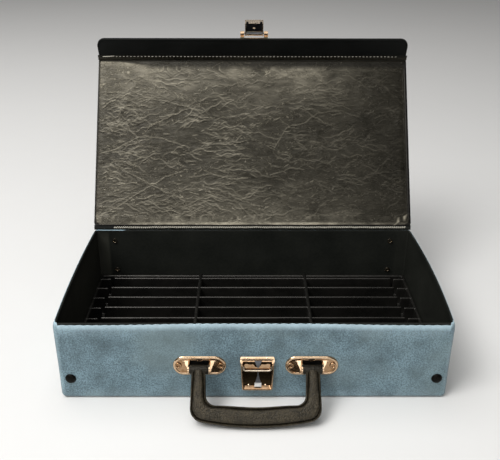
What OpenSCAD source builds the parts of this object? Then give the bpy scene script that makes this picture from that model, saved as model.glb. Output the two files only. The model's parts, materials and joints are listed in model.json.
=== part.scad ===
// Hard travel case for boxed cassettes, shown with its lid and front flap open.
// Boards wrapped in vinyl form a shallow tub and a lid whose front edge folds down as a flap.
// A moulded tray with three columns of slots lies in the tub, and a handle and a catch are on its front.
// Origin: middle of the underside. X runs along the front, Y towards the rear, Z upwards.

/* [Case] */
// Outside width of the base, left to right
case_w = 356; // [340:1:420]
// Outside depth of the base, front to back
case_d = 194; // [188:1:240]
// Height of the base, from the table to its rim
case_h = 81; // [79:1:120]
// Radius of the upright corners of the base
corner_r = 5; // [4:0.5:8]

/* [Walls] */
// Thickness of the boards in the base, the lid and the flap
board_t = 3; // [2.4:0.2:4]
// Thickness of the outer vinyl
skin_t = 0.6; // [0.4:0.1:0.9]
// Thickness of the lining
lining_t = 0.5; // [0.3:0.1:0.8]
// Thickness of the vinyl sheet under the base
foot_sheet_t = 0.5; // [0.3:0.1:1]
// Width of the vinyl margin turned under the base
hem_w = 14; // [8:1:30]
// Depth of the vinyl turned down inside the rear rim
rim_turn = 4.5; // [2:0.5:10]

/* [Lid and flap] */
// How far each side of the lid stands inside the side of the base
lid_inset = 1; // [0:0.5:4]
// How far each side of the flap stands inside the side of the base
flap_inset = 2.5; // [1:0.5:5]
// Height of the flap, from its fold line to its rim
flap_h = 28.5; // [24:0.5:31]
// Radius of the lid's rear corners
lid_rear_r = 5; // [2:0.5:10]
// Radius of the corners beside the fold, on the lid and on the flap
fold_corner_r = 2; // [1:0.5:3]
// Radius of the flap's corners at its rim
flap_corner_r = 9; // [3:0.5:14]
// Gap between the closed lid and the rim of the base
lid_gap = 0.4; // [0.3:0.1:1]
// Gap between the closed flap and the front of the base
flap_gap = 1; // [0.6:0.1:2]
// Bare width of the vinyl hinge, from its fold line to the edge of the board beside it
hinge_gap = 2.4; // [2.2:0.1:3.5]
// Thickness of the vinyl strips at both fold lines
strip_t = 0.6; // [0.4:0.1:0.8]
// Distance from a fold line at which each half of its strip ends
strip_gap = 0.45; // [0.45:0.05:0.8]
// How far the strips stop short of the lid's sides
strip_inset = 4; // [1:0.5:12]

/* [Tray] */
// Gap between the tray and the lining round it
tray_gap = 0.3; // [0.2:0.1:1]
// Thickness of the tray's floor
tray_t = 1.2; // [0.8:0.1:2]
// Thickness of the tray's outer wall
tray_wall_t = 2.6; // [1.5:0.1:4]
// Height of the ribs above the tray's floor
rib_h = 20.7; // [12:0.1:24]
// Clear width of a slot between two ribs
slot_w = 17.4; // [15:0.1:20]
// Thickness of a rib at its foot
rib_t = 3.2; // [2.4:0.1:4]
// Thickness of a rib at its rounded top
rib_top_t = 2.2; // [1:0.1:2.4]
// Clear length of a slot in the middle column
slot_l = 112.7; // [100:0.1:116]
// Thickness of a divider between two columns, at its foot
divider_t = 6.1; // [4.4:0.1:7]
// Thickness of a divider at its rounded top
divider_top_t = 4; // [2:0.1:4.4]
// How far the dividers stand above the ribs
divider_rise = 0.3; // [0:0.1:2]
// How far the tray's outer wall stands below the ribs
tray_wall_drop = 1.5; // [0:0.1:5]
// Length of the short ribs along the tray's outer wall
stub_l = 10.5; // [4:0.5:20]
// Gap between a rib's end and the short rib facing it
stub_gap = 2.7; // [1:0.1:6]
// How far the short ribs stand below the ribs
stub_drop = 1.2; // [0:0.1:5]
// Depth of the short ribs' roots in the tray's outer wall
stub_root = 1; // [0.5:0.1:1.5]

/* [Handle] */
// Place of the handle's middle along the front
handle_x = 1.5; // [-6:0.5:6]
// Distance between the middles of the two handle plates
plate_pitch = 101.4; // [96:0.2:104]
// Width of the handle across its legs
grip_w = 114.4; // [113:0.2:120]
// Width of the opening between the legs
grip_gap = 88.2; // [86:0.2:92]
// Distance from the pins to the outer edge of the grip
grip_reach = 50.5; // [47:0.5:50.5]
// Distance from the pins to the inner edge of the grip
grip_inner = 33; // [30:0.5:35]
// Radius of the long bow of the grip's outer edge
grip_bow_r = 243; // [200:1:400]
// Radius of the handle's outer corners
grip_corner_r = 12; // [8:0.5:14]
// Radius of the corners of the finger opening
gap_corner_r = 9; // [5:0.5:12]
// Thickness of the handle
grip_t = 10; // [8.4:0.2:10.4]
// Thickness of the handle along its raised border
border_t = 6; // [4:0.2:7]
// Width of the step along the border of the handle
border_step = 1.6; // [0.6:0.1:2.4]
// Distance below the pins at which the legs start
leg_start = 1.2; // [0:0.1:2]
// Diameter of the barrels at the tops of the legs
barrel_d = 8.4; // [7:0.1:9.4]
// Length of a barrel
barrel_l = 16.8; // [15:0.1:17.2]

/* [Handle plates] */
// Length of a handle plate
plate_l = 48.7; // [47:0.1:56]
// Width of a handle plate
plate_w = 21.4; // [19:0.1:26]
// Thickness of a handle plate
plate_t = 1.5; // [1.1:0.1:2]
// Height of the middle of the handle plates above the table
plate_z = 37.4; // [36.5:0.1:40]
// Depth of the recess inside the rolled edge of a plate
plate_recess = 0.4; // [0.2:0.1:0.6]
// Width of the rolled edge of a plate
plate_edge = 1.6; // [0.8:0.1:2.2]
// Width of the window behind the barrel
window_w = 17.4; // [14:0.1:17.6]
// Height of the window behind the barrel
window_h = 12; // [9:0.1:13]
// Width of the small point at the window's upper edge
point_w = 6; // [3:0.1:8]
// Depth of the small point at the window's upper edge
point_h = 2.2; // [1:0.1:3]
// Thickness of the ears that carry the handle
ear_t = 1.2; // [0.8:0.1:2]
// Distance between the two ears of a plate
ear_gap = 17.6; // [17.4:0.1:18.4]
// Radius of the ears round the pin
ear_r = 4; // [3:0.1:4.6]
// Width of the gusset beside an ear, at its top
gusset_w = 4; // [2:0.1:4.4]
// Height of the gusset beside an ear
gusset_h = 9.6; // [6:0.1:10]
// How far the gusset's top lies below the top of the window
gusset_cap = 1; // [0:0.1:2]
// How far the gusset stands out from the front
gusset_out = 5.6; // [3:0.1:7]
// Distance from the front of the base to the pins
pin_out = 8; // [7.8:0.1:9]
// Height of the pins above the middle of the plates
pin_rise = 0.8; // [0:0.1:1.5]
// Diameter of the handle pins
pin_d = 3; // [2:0.1:3.6]
// Distance between the two rivets of a plate
plate_rivet_pitch = 38.4; // [37.4:0.1:40]

/* [Rivets, studs and feet] */
// Diameter of the tubular rivets
rivet_d = 4; // [3:0.1:4.4]
// Diameter of the hole in the tubular rivets
rivet_bore = 2.4; // [1:0.1:2.6]
// Diameter of the heads of the tubular rivets
rivet_head_d = 6.4; // [5:0.1:7]
// Height of the heads of the tubular rivets
rivet_head_h = 1; // [0.5:0.1:1.4]
// Height of the flared ends inside the case
rivet_flare_h = 0.7; // [0.4:0.1:0.9]
// Diameter of the flared ends inside the case
rivet_flare_d = 5.8; // [4.6:0.1:7]
// Diameter of the small rivets of the catch and the hasp
pin_rivet_d = 2; // [1.4:0.1:2.4]
// Diameter of the heads of the small rivets
pin_rivet_head_d = 3.4; // [2.6:0.1:3.6]
// Height of the heads of the small rivets
pin_rivet_head_h = 0.9; // [0.4:0.1:0.9]
// Diameter of the studs low on the front
stud_d = 10; // [7:0.5:14]
// Height of the studs
stud_h = 2.5; // [1.5:0.1:3.5]
// Diameter of the nails of the studs
stud_nail_d = 3; // [2:0.1:4]
// Distance from the side of the base to a stud
stud_inset = 11; // [10:0.5:30]
// Height of the studs above the table
stud_z = 22.5; // [12:0.5:40]
// Diameter of the rear feet
foot_d = 12; // [10:0.5:18]
// Height of the rear feet
foot_h = 4; // [3:0.1:6]
// Depth of the sunk seat for the rivet in a rear foot
foot_sink = 1.5; // [1.1:0.1:2]
// Distance from the side of the base to a rear foot
foot_inset = 23; // [14:0.5:50]
// Height of the lower rear feet above the table
foot_low_z = 31; // [30:0.5:40]
// Distance of the upper rear feet below the rim of the base
foot_high_drop = 13.3; // [12:0.1:26]
// Play round the head of the rivet in the seat of a rear foot
foot_seat_play = 0.1; // [0.05:0.05:0.3]

/* [Catch] */
// Place of the catch's middle along the front
catch_x = 3; // [1:0.1:4]
// Distance of the catch's lower edge below the rim of the base
catch_drop = 71; // [70.6:0.1:72]
// Height of the catch
catch_h = 37.4; // [37:0.1:38.4]
// Width of the catch at its top
catch_top_w = 31.4; // [30.6:0.1:34]
// Width of the catch at its bottom
catch_low_w = 28.8; // [28.6:0.1:32]
// Thickness of the metal of the catch
catch_t = 0.8; // [0.5:0.1:1]
// Width of the walls round the catch
catch_wall_t = 1.2; // [0.8:0.1:1.2]
// Depth of the walls round the lower part of the catch
catch_out = 4; // [3:0.1:4.4]
// Depth of the hood over the upper part of the catch
hood_out = 4.6; // [4.4:0.1:4.8]
// Height of the hood's front above its lower edge
hood_h = 5.2; // [4:0.1:5.4]
// Height of the cheeks beside the slider, below the hood
cheek_h = 9.2; // [7:0.1:12]
// Distance of each tooth under the hood from the middle of the catch
tooth_x = 7.6; // [6:0.1:9]
// Width of the teeth under the hood
tooth_w = 3; // [1:0.1:4]
// Depth of the teeth under the hood
tooth_h = 1.4; // [0.5:0.1:1.6]
// Depth of the teeth's roots in the hood
tooth_root = 0.2; // [0.1:0.1:0.4]
// Height of the step inside the catch's lower edge
sill_h = 1.4; // [0.8:0.1:1.5]
// Depth of the step inside the catch's lower edge
sill_out = 2.2; // [1.2:0.1:3]
// Distance of the lower rivets from the middle of the catch
low_rivet_x = 7.7; // [6:0.1:10]
// Height of the lower rivets above the catch's lower edge
low_rivet_y = 4.6; // [4.4:0.1:8]
// Distance of the upper rivets from the middle of the catch
high_rivet_x = 9; // [7:0.1:11]
// Depth of the upper rivets below the catch's top
high_rivet_y = 3.1; // [2.9:0.1:3.2]

/* [Catch slider and spring] */
// Width of the slider
slider_w = 26; // [25:0.1:27]
// Height of the slider
slider_h = 13.4; // [13:0.1:13.8]
// Height of the slider's lower edge above the catch's
slider_y = 19; // [18.8:0.1:19.2]
// Radius of the slider's lower corners
slider_r = 3; // [1:0.1:4]
// Thickness of the slider's floor
slider_t = 0.5; // [0.3:0.1:0.6]
// Distance from the front of the base to the back of the slider's floor
slider_back = 1.9; // [1.8:0.1:2]
// Width of the slider's side rims
slider_rim_t = 1; // [0.6:0.1:1.2]
// How far the cheeks beside the slider reach in over its side rims
cheek_over = 0.7; // [0.3:0.1:1]
// Height of the slider's side rims above its floor
slider_rim_h = 1; // [0.6:0.1:1]
// Height of the solid ridge along the slider's lower edge
ridge_h = 3.9; // [3:0.1:4]
// Distance from the front of the base to the front of the ridge
ridge_out = 4.9; // [4.8:0.1:4.9]
// Height of the lip above the ridge
lip_h = 1.6; // [1.2:0.1:1.8]
// Thickness of the lip above the ridge
lip_t = 0.8; // [0.6:0.1:0.8]
// Height of the groove along the ridge
groove_h = 0.8; // [0.4:0.1:1]
// Depth of the groove along the ridge
groove_t = 0.5; // [0.2:0.1:0.8]
// How far the slider travels down
slider_travel = 5; // [2:0.1:5]
// Width of the spring at its top, in the window
spring_top_w = 8.7; // [6:0.1:9]
// Width of the spring at its waist
spring_waist_w = 1.6; // [1:0.1:2.4]
// Width of the spring at its foot
spring_foot_w = 5.6; // [3:0.1:7]
// Thickness of the spring
spring_t = 0.6; // [0.3:0.1:0.6]
// Gap between the spring and the slider's floor in front of and behind it
spring_gap = 0.4; // [0.3:0.1:0.4]
// Play of the spring's waist in the slider's slot, on each side of it
spring_play = 1.3; // [0.6:0.1:1.5]
// Gap between the spring's foot and the step inside the catch
spring_foot_gap = 0.3; // [0.2:0.1:1]
// Gap between the spring's head and the wall over it
spring_head_gap = 0.7; // [0.3:0.1:1]
// How far the spring is tucked up under the hood before its sides run straight
spring_tuck = 0.3; // [0.1:0.1:1]
// How far the hook at the spring's foot stands out
spring_hook_out = 2; // [1.2:0.1:2.6]
// Height of the hook at the spring's foot
spring_hook_h = 2.7; // [1.5:0.1:4]

/* [Hasp] */
// Place of the hasp's middle along the flap
hasp_x = 1.6; // [1.2:0.1:2.2]
// Width of the hasp
hasp_w = 20.5; // [20.1:0.1:21]
// Height of the closed hasp's lower edge above the catch's lower edge
hasp_low_y = 26.5; // [24:0.1:26.8]
// Depth of the hasp
hasp_deep = 7; // [6:0.1:8]
// Thickness of the metal of the hasp
hasp_t = 1; // [0.6:0.1:1]
// Gap between the closed hasp and the slider's ridge
hasp_gap = 0.4; // [0.3:0.1:0.8]
// Distance from the flap's rim down to the hasp's pin
hasp_drop = 3.7; // [3.6:0.1:4.2]
// Diameter of the hasp's pin
hasp_pin_d = 2.2; // [1.6:0.1:2.4]
// Width of the hasp's base plate
hasp_base_w = 31; // [29:0.5:36]
// Height of the hasp's base plate above the flap's rim
hasp_base_h = 16; // [12:0.5:19]
// Thickness of the hasp's base plate
hasp_base_t = 1.2; // [0.8:0.1:1.3]
// Width of each knuckle of the base plate
knuckle_w = 4.4; // [3:0.1:4.6]
// Radius of the knuckles
knuckle_r = 2.1; // [1.8:0.1:2.4]
// How far the knuckles reach up over the flap's rim
knuckle_up = 2; // [1:0.1:4]
// How far the brackets behind the knuckles reach below the flap's rim
knuckle_down = 1.4; // [0.6:0.1:2]
// How far those brackets stay behind the pin's middle
knuckle_back = 0.5; // [0.2:0.1:1]
// Gap between the hasp's round top and the edge of its base plate
hasp_top_gap = 0.9; // [0.5:0.1:2]
// Distance of the base plate's rivets from its middle
hasp_rivet_x = 10; // [6:0.5:12]
// Height of the base plate's rivets above the flap's rim
hasp_rivet_y = 10; // [7:0.5:11]
// Thickness of the tongue inside the hasp
tongue_t = 0.9; // [0.6:0.1:1]
// Gap between the tongue and the hasp's pin
tongue_gap = 0.75; // [0.5:0.05:3.5]
// Gap between the hasp's lower wall and the tongue's arms
arm_gap = 1.1; // [0.4:0.1:1.6]
// Height of the tongue's arms
arm_h = 1.2; // [0.8:0.1:1.6]
// Height of the tongue's rivet above the hasp's lower edge
tongue_rivet_y = 9.5; // [6:0.1:10]
// Distance from the middle of the tongue to the inner side of each prong
prong_x = 6.4; // [6.2:0.1:6.8]
// Width of each prong
prong_w = 2.6; // [1.6:0.1:2.6]
// Thickness of each prong
prong_t = 1; // [0.8:0.1:1]
// How far the prongs reach down behind the slider's lip
prong_grip = 0.8; // [0.4:0.1:1.2]

/* [Fits] */
// Radial clearance of pins and rivets in holes that grip them
seat_fit = 0.02; // [0.01:0.01:0.05]
// Radial clearance of pins in parts that turn on them
turn_fit = 0.05; // [0.02:0.01:0.1]

/* [Open position] */
// Angle that the lid is opened from closed
lid_open = 123; // [0:1:180]
// Angle that the flap is opened from square to the lid
flap_open = 35; // [0:1:90]
// Angle that the handle is swung out from hanging straight down
handle_out = 45; // [45:1:135]

/* [Hidden] */
$fn = 64;
// Radius of a corner that is left sharp
sharp_r = 0.01;
// Overshoot of the cuts past the faces that they cut
over = 1;

// Base: outer faces, levels and wall depths
front_y = -case_d / 2;
rear_y = case_d / 2;
half_w = case_w / 2;
board_z = foot_sheet_t + skin_t;
floor_z = board_z + board_t;
board_top = case_h - skin_t;
core_w = case_w - 2 * skin_t;
core_d = case_d - 2 * skin_t;
core_r = corner_r - skin_t;
edge_r = board_t;
wall_t = skin_t + board_t;
panel_t = wall_t + lining_t;
turn_in = wall_t + skin_t;
room_w = case_w - 2 * panel_t;
room_d = case_d - 2 * panel_t;

// Lid and flap: fold lines and edges
lid_w = case_w - 2 * lid_inset;
flap_w = case_w - 2 * flap_inset;
lid_under = case_h + lid_gap;
lid_mid = lid_under + panel_t / 2;
hinge_y = rear_y - panel_t / 2;
fold_y = front_y - flap_gap - panel_t / 2;
lid_rear_y = hinge_y - hinge_gap;
lid_front_y = fold_y + hinge_gap;
lid_d = lid_rear_y - lid_front_y;
flap_top_z = lid_mid - hinge_gap;
flap_rim_z = lid_mid - flap_h;
flap_out = flap_gap + panel_t;
strip_w = lid_w - 2 * strip_inset;
flap_strip_w = flap_w - 2 * strip_inset;

// Tray: pitch, ends of the ribs and number of slots in a column
tray_w = room_w - 2 * tray_gap;
tray_d = room_d - 2 * tray_gap;
tray_floor = floor_z + tray_t;
pitch = slot_w + rib_t;
slot_rows = floor((tray_d - 2 * tray_wall_t - rib_t) / pitch);
divider_x = (slot_l + divider_t) / 2;
tray_side_x = tray_w / 2 - tray_wall_t;
rib_end_x = tray_side_x - stub_l - stub_gap;

// Handle: pivot line and arc of the bow
pin_z = plate_z + pin_rise;
pin_y = front_y - pin_out;
bow_z = grip_bow_r - grip_reach;
corner_x = grip_w / 2 - grip_corner_r;
corner_drop = sqrt(pow(grip_bow_r - grip_corner_r, 2) - pow(corner_x, 2)) - bow_z;
plate_spots = [for (side = [-1, 1]) handle_x + side * plate_pitch / 2];
rivet_seat = plate_t - plate_recess;

// Catch, slider and spring: levels above the catch's lower edge and out from the front
catch_z = case_h - catch_drop;
hood_y = catch_h - hood_h;
cheek_y = hood_y - cheek_h;
slider_front = slider_back + slider_t;
ridge_top = slider_y + ridge_h;
lip_top = ridge_top + lip_h;
spring_back = catch_t;
spring_front = slider_front + spring_gap;
spring_waist_y = lip_top;
spring_slot_y = spring_waist_y - spring_play;
spring_slot_h = slider_travel + 2 * spring_play;
spring_slot_w = spring_waist_w + 2 * spring_play;
spring_foot_y = catch_wall_t + sill_h + spring_foot_gap;
spring_head_y = catch_h - catch_wall_t - spring_head_gap;

// Hasp: pin and levels out from the front
hasp_in = ridge_out + hasp_gap;
hasp_outer = hasp_in + hasp_deep;
hasp_low_z = catch_z + hasp_low_y;
hasp_pin_z = flap_rim_z - hasp_drop;
hasp_pin_out = hasp_in + hasp_deep / 2;
hasp_end_r = hasp_deep / 2;
prong_in = spring_front;
prong_z = catch_z + lip_top - prong_grip;
arm_z = hasp_low_z + hasp_t + arm_gap;
tongue_h = hasp_pin_z - hasp_pin_d / 2 - tongue_gap - arm_z;

// Places of the fasteners on the front and on the rear
stud_spots = [for (side = [-1, 1]) [side * (half_w - stud_inset), stud_z]];
foot_spots = [for (side = [-1, 1], z = [foot_low_z, case_h - foot_high_drop]) [side * (half_w - foot_inset), z]];
plate_rivet_spots = [for (x = plate_spots, side = [-1, 1]) [x + side * plate_rivet_pitch / 2, plate_z]];
catch_rivet_spots = [
    for (side = [-1, 1])
        for (spot = [[low_rivet_x, low_rivet_y], [high_rivet_x, catch_h - high_rivet_y]])
            [catch_x + side * spot[0], catch_z + spot[1]]
];

// Puts its children on the front of the base: their Z points out and their Y points up.
module on_front(x, z) {
    translate([x, front_y, z]) rotate([90, 0, 0]) children();
}

// Puts its children on the rear of the base: their Z points out and their Y points up.
module on_rear(x, z) {
    translate([x, rear_y, z]) rotate([90, 0, 180]) children();
}

// Carries the closed lid to its open position.
module with_lid() {
    translate([0, hinge_y, lid_mid]) rotate([-lid_open, 0, 0])
        translate([0, -hinge_y, -lid_mid]) children();
}

// Carries the closed flap, and the hasp on it, to the open position.
module with_flap() {
    with_lid() translate([0, fold_y, lid_mid]) rotate([-flap_open, 0, 0])
        translate([0, -fold_y, -lid_mid]) children();
}

// Rectangle with round corners, centred.
module round_rect(w, d, r) {
    square([w, d - 2 * r], center = true);
    square([w - 2 * r, d], center = true);
    for (x = [-1, 1], y = [-1, 1])
        translate([x * (w / 2 - r), y * (d / 2 - r)]) circle(r = r);
}

// Sweeps a section round a rectangle with round corners.
// The section's X runs outwards from the centres of the corners and its Y runs up.
module edge_sweep(w, d, r) {
    for (x = [-1, 1], y = [-1, 1])
        translate([x * (w / 2 - r), y * (d / 2 - r), 0])
            rotate([0, 0, atan2(y, x) - 45])
                rotate_extrude(angle = 90) children();
    for (turn = [0, 180]) {
        rotate([0, 0, turn]) translate([w / 2 - r, 0, 0]) rotate([90, 0, 0])
            linear_extrude(height = d - 2 * r, center = true) children();
        rotate([0, 0, turn + 90]) translate([d / 2 - r, 0, 0]) rotate([90, 0, 0])
            linear_extrude(height = w - 2 * r, center = true) children();
    }
}

// Quarter of a disc below and outside the point given.
module low_quarter(x, y, r) {
    translate([x, y]) intersection() {
        circle(r = r);
        translate([0, -r]) square([r, r]);
    }
}

// Rectangle whose two corners at its low edge and two at its high edge have radii of their own.
module panel_outline(w, d, low_r, high_r, inset = 0) {
    width = w - 2 * inset;
    depth = d - 2 * inset;
    low = low_r - inset;
    high = high_r - inset;
    translate([-width / 2, -depth / 2 + low]) square([width, depth - low - high]);
    translate([-width / 2 + low, -depth / 2]) square([width - 2 * low, low]);
    translate([-width / 2 + high, depth / 2 - high]) square([width - 2 * high, high]);
    for (side = [-1, 1]) {
        translate([side * (width / 2 - low), -depth / 2 + low]) circle(r = low);
        translate([side * (width / 2 - high), depth / 2 - high]) circle(r = high);
    }
}

// Cap of a sphere with a given width and height, flat side down.
module dome(d, h) {
    ball_r = (d * d / 4 + h * h) / (2 * h);
    intersection() {
        translate([0, 0, h - ball_r]) sphere(r = ball_r);
        cylinder(d = d + 1, h = h + 1);
    }
}

// Holes through the front wall for each kind of fastener.
module front_holes(spots, d) {
    for (spot = spots)
        on_front(spot[0], spot[1]) translate([0, 0, -2 * panel_t])
            cylinder(d = d, h = 4 * panel_t);
}

module plate_rivet_holes() { front_holes(plate_rivet_spots, rivet_d + 2 * seat_fit); }
module catch_rivet_holes() { front_holes(catch_rivet_spots, pin_rivet_d + 2 * seat_fit); }
module stud_holes() { front_holes(stud_spots, stud_nail_d + 2 * seat_fit); }

module foot_holes() {
    for (spot = foot_spots)
        on_rear(spot[0], spot[1]) translate([0, 0, -2 * panel_t])
            cylinder(d = rivet_d + 2 * seat_fit, h = 4 * panel_t);
}

// Tubular rivet: its head stands on z = 0 and its flared end closes below the grip.
module tube_rivet(grip) {
    difference() {
        union() {
            cylinder(d = rivet_head_d, h = rivet_head_h);
            translate([0, 0, -grip - rivet_flare_h]) cylinder(d = rivet_d, h = grip + rivet_flare_h);
            translate([0, 0, -grip - rivet_flare_h]) cylinder(d = rivet_flare_d, h = rivet_flare_h);
        }
        translate([0, 0, -grip - 2 * rivet_flare_h])
            cylinder(d = rivet_bore, h = grip + 4 * rivet_head_h);
    }
}

// Small solid rivet: its domed head stands on z = 0 and its shank ends at the depth given.
module small_rivet(depth) {
    dome(pin_rivet_head_d, pin_rivet_head_h);
    translate([0, 0, -depth]) cylinder(d = pin_rivet_d, h = depth);
}

// Vinyl sheet under the base, the face that it stands on
module bottom_cover() {
    inset = corner_r - core_r + board_t;
    color("#33485a") linear_extrude(height = foot_sheet_t)
        round_rect(case_w - 2 * inset, case_d - 2 * inset, core_r);
}

// Section of the outer vinyl below the walls: rounded lower edge and the start of the hem
module cover_foot() {
    difference() {
        low_quarter(core_r - edge_r, floor_z, edge_r + skin_t);
        low_quarter(core_r - edge_r, floor_z, edge_r);
    }
    translate([0, foot_sheet_t]) square([core_r - edge_r, skin_t]);
}

// Strip along the rear rim that the turned-in vinyl takes up
module rear_rim() {
    translate([-half_w, rear_y - turn_in]) square([case_w, turn_in]);
}

// Outer vinyl of the base, turned under the bottom and over the rear rim
module base_cover() {
    color("#5f84a8") difference() {
        union() {
            edge_sweep(case_w, case_d, corner_r) cover_foot();
            translate([0, 0, floor_z]) linear_extrude(height = board_top - floor_z) difference() {
                round_rect(case_w, case_d, corner_r);
                round_rect(core_w, core_d, core_r);
            }
            translate([0, 0, foot_sheet_t]) linear_extrude(height = skin_t) difference() {
                square([case_w - 2 * corner_r, case_d - 2 * corner_r], center = true);
                square([case_w - 2 * hem_w, case_d - 2 * hem_w], center = true);
            }
            translate([0, 0, board_top]) linear_extrude(height = skin_t) intersection() {
                round_rect(case_w, case_d, corner_r);
                rear_rim();
            }
            translate([-room_w / 2, rear_y - turn_in, board_top - rim_turn])
                cube([room_w, skin_t, rim_turn]);
        }
        plate_rivet_holes();
        catch_rivet_holes();
        stud_holes();
        foot_holes();
    }
}

module bottom_board() {
    inner_w = core_w - 2 * core_r;
    inner_d = core_d - 2 * core_r;
    color("#8a6a4a") {
        edge_sweep(core_w, core_d, core_r) {
            low_quarter(core_r - edge_r, floor_z, edge_r);
            translate([0, board_z]) square([core_r - edge_r, board_t]);
        }
        translate([-inner_w / 2, -inner_d / 2, board_z]) cube([inner_w, inner_d, board_t]);
    }
}

// Upright board along the front, or along the rear once it is turned
module long_board() {
    translate([0, 0, floor_z]) linear_extrude(height = board_top - floor_z) intersection() {
        round_rect(core_w, core_d, core_r);
        translate([-core_w / 2, -core_d / 2]) square([core_w, board_t]);
    }
}

module front_board() {
    color("#8a6a4a") difference() {
        long_board();
        plate_rivet_holes();
        catch_rivet_holes();
        stud_holes();
    }
}

module rear_board() {
    color("#8a6a4a") difference() {
        rotate([0, 0, 180]) long_board();
        foot_holes();
    }
}

// Upright board between the front and rear boards, on the side given by its sign
module side_board(side) {
    color("#8a6a4a") translate([0, 0, floor_z]) linear_extrude(height = board_top - floor_z)
        intersection() {
            round_rect(core_w, core_d, core_r);
            translate([side * (core_w - board_t) / 2, 0])
                square([board_t, core_d - 2 * board_t], center = true);
        }
}

module left_board() { side_board(-1); }
module right_board() { side_board(1); }

// Lining round the room, seen from above
module lining_ring() {
    difference() {
        square([room_w + 2 * lining_t, room_d + 2 * lining_t], center = true);
        square([room_w, room_d], center = true);
    }
}

// Black lining of the walls, turned over the front rim and the side rims
module base_lining() {
    rear_top = board_top - rim_turn;
    color("#141416") difference() {
        union() {
            translate([0, 0, floor_z]) linear_extrude(height = rear_top - floor_z) lining_ring();
            translate([0, 0, rear_top]) linear_extrude(height = rim_turn) difference() {
                lining_ring();
                rear_rim();
            }
            translate([0, 0, board_top]) linear_extrude(height = lining_t) difference() {
                round_rect(case_w, case_d, corner_r);
                square([room_w, room_d], center = true);
                rear_rim();
            }
        }
        plate_rivet_holes();
        foot_holes();
    }
}

// Upright bar along X with a rounded top, for the tray
module bar(length, foot_t, top_t, height) {
    rotate([90, 0, 90]) linear_extrude(height = length, center = true) {
        polygon([
            [-foot_t / 2, 0], [foot_t / 2, 0],
            [top_t / 2, height - top_t / 2], [-top_t / 2, height - top_t / 2]
        ]);
        translate([0, height - top_t / 2]) circle(d = top_t);
    }
}

// One rib across all three columns, with the short rib at each end
module rib_row() {
    outer_l = rib_end_x - divider_x;
    bar(2 * divider_x, rib_t, rib_top_t, rib_h);
    for (side = [-1, 1]) {
        translate([side * (divider_x + outer_l / 2), 0, 0]) bar(outer_l, rib_t, rib_top_t, rib_h);
        translate([side * (tray_side_x + (stub_root - stub_l) / 2), 0, 0])
            bar(stub_l + stub_root, rib_t, rib_top_t, rib_h - stub_drop);
    }
}

module tray() {
    wall_top = tray_floor + rib_h - tray_wall_drop;
    color("#0c0c0e") {
        translate([0, 0, floor_z + tray_t / 2]) cube([tray_w, tray_d, tray_t], center = true);
        translate([0, 0, floor_z]) linear_extrude(height = wall_top - floor_z) difference() {
            square([tray_w, tray_d], center = true);
            square([tray_w - 2 * tray_wall_t, tray_d - 2 * tray_wall_t], center = true);
        }
        for (side = [-1, 1])
            translate([side * divider_x, 0, tray_floor]) rotate([0, 0, 90])
                bar(tray_d - tray_wall_t, divider_t, divider_top_t, rib_h + divider_rise);
        for (row = [0:slot_rows])
            translate([0, (row - slot_rows / 2) * pitch, tray_floor]) rib_row();
    }
}

module front_studs() {
    color("#101012") for (spot = stud_spots) on_front(spot[0], spot[1]) {
        dome(stud_d, stud_h);
        translate([0, 0, -wall_t]) cylinder(d = stud_nail_d, h = wall_t);
    }
}

module rear_feet() {
    color("#101012") for (spot = foot_spots) on_rear(spot[0], spot[1]) difference() {
        dome(foot_d, foot_h);
        translate([0, 0, -over]) cylinder(d = rivet_d + 2 * seat_fit, h = foot_h + 2 * over);
        translate([0, 0, foot_h - foot_sink]) cylinder(d = rivet_head_d + 2 * foot_seat_play, h = foot_h);
    }
}

module rear_foot_rivets() {
    color("#b9b4ac") for (spot = foot_spots) on_rear(spot[0], spot[1])
        translate([0, 0, foot_h - foot_sink]) tube_rivet(foot_h - foot_sink + panel_t);
}

// Stadium shape along X, drawn in by the inset
module stadium(l, w, inset = 0) {
    square([l - w, w - 2 * inset], center = true);
    for (side = [-1, 1]) translate([side * (l - w) / 2, 0]) circle(d = w - 2 * inset);
}

// Window of a handle plate, with the small point at its upper edge left in
module plate_window() {
    difference() {
        translate([0, pin_rise]) square([window_w, window_h], center = true);
        translate([0, pin_rise + window_h / 2])
            polygon([
                [-point_w / 2, over], [point_w / 2, over],
                [point_w / 2, 0], [0, -point_h], [-point_w / 2, 0]
            ]);
    }
}

// Ear that carries the pin, on the right of a plate, and the gusset beside it
module plate_ear() {
    translate([ear_gap / 2, 0, 0]) rotate([90, 0, 90]) linear_extrude(height = ear_t)
        difference() {
            union() {
                translate([pin_rise - ear_r, rivet_seat / 2]) square([2 * ear_r, pin_out - rivet_seat / 2]);
                translate([pin_rise, pin_out]) circle(r = ear_r);
            }
            translate([pin_rise, pin_out]) circle(d = pin_d + 2 * seat_fit);
        }
    translate([ear_gap / 2 + ear_t, pin_rise + window_h / 2, rivet_seat / 2])
        linear_extrude(height = gusset_out - rivet_seat / 2)
            polygon([
                [-ear_t / 2, -gusset_cap], [gusset_w, -gusset_cap],
                [0, -gusset_h], [-ear_t / 2, -gusset_h]
            ]);
}

module handle_plate(x) {
    color("#c9a57c") on_front(x, plate_z) difference() {
        union() {
            difference() {
                linear_extrude(height = plate_t) stadium(plate_l, plate_w);
                translate([0, 0, rivet_seat]) linear_extrude(height = plate_t)
                    stadium(plate_l, plate_w, plate_edge);
                translate([0, 0, -over]) linear_extrude(height = plate_t + 2 * over) plate_window();
            }
            plate_ear();
            mirror([1, 0, 0]) plate_ear();
        }
        for (side = [-1, 1]) translate([side * plate_rivet_pitch / 2, 0, -over])
            cylinder(d = rivet_d + 2 * seat_fit, h = plate_t + 2 * over);
    }
}

module handle_plate_left() { handle_plate(plate_spots[0]); }
module handle_plate_right() { handle_plate(plate_spots[1]); }

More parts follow.
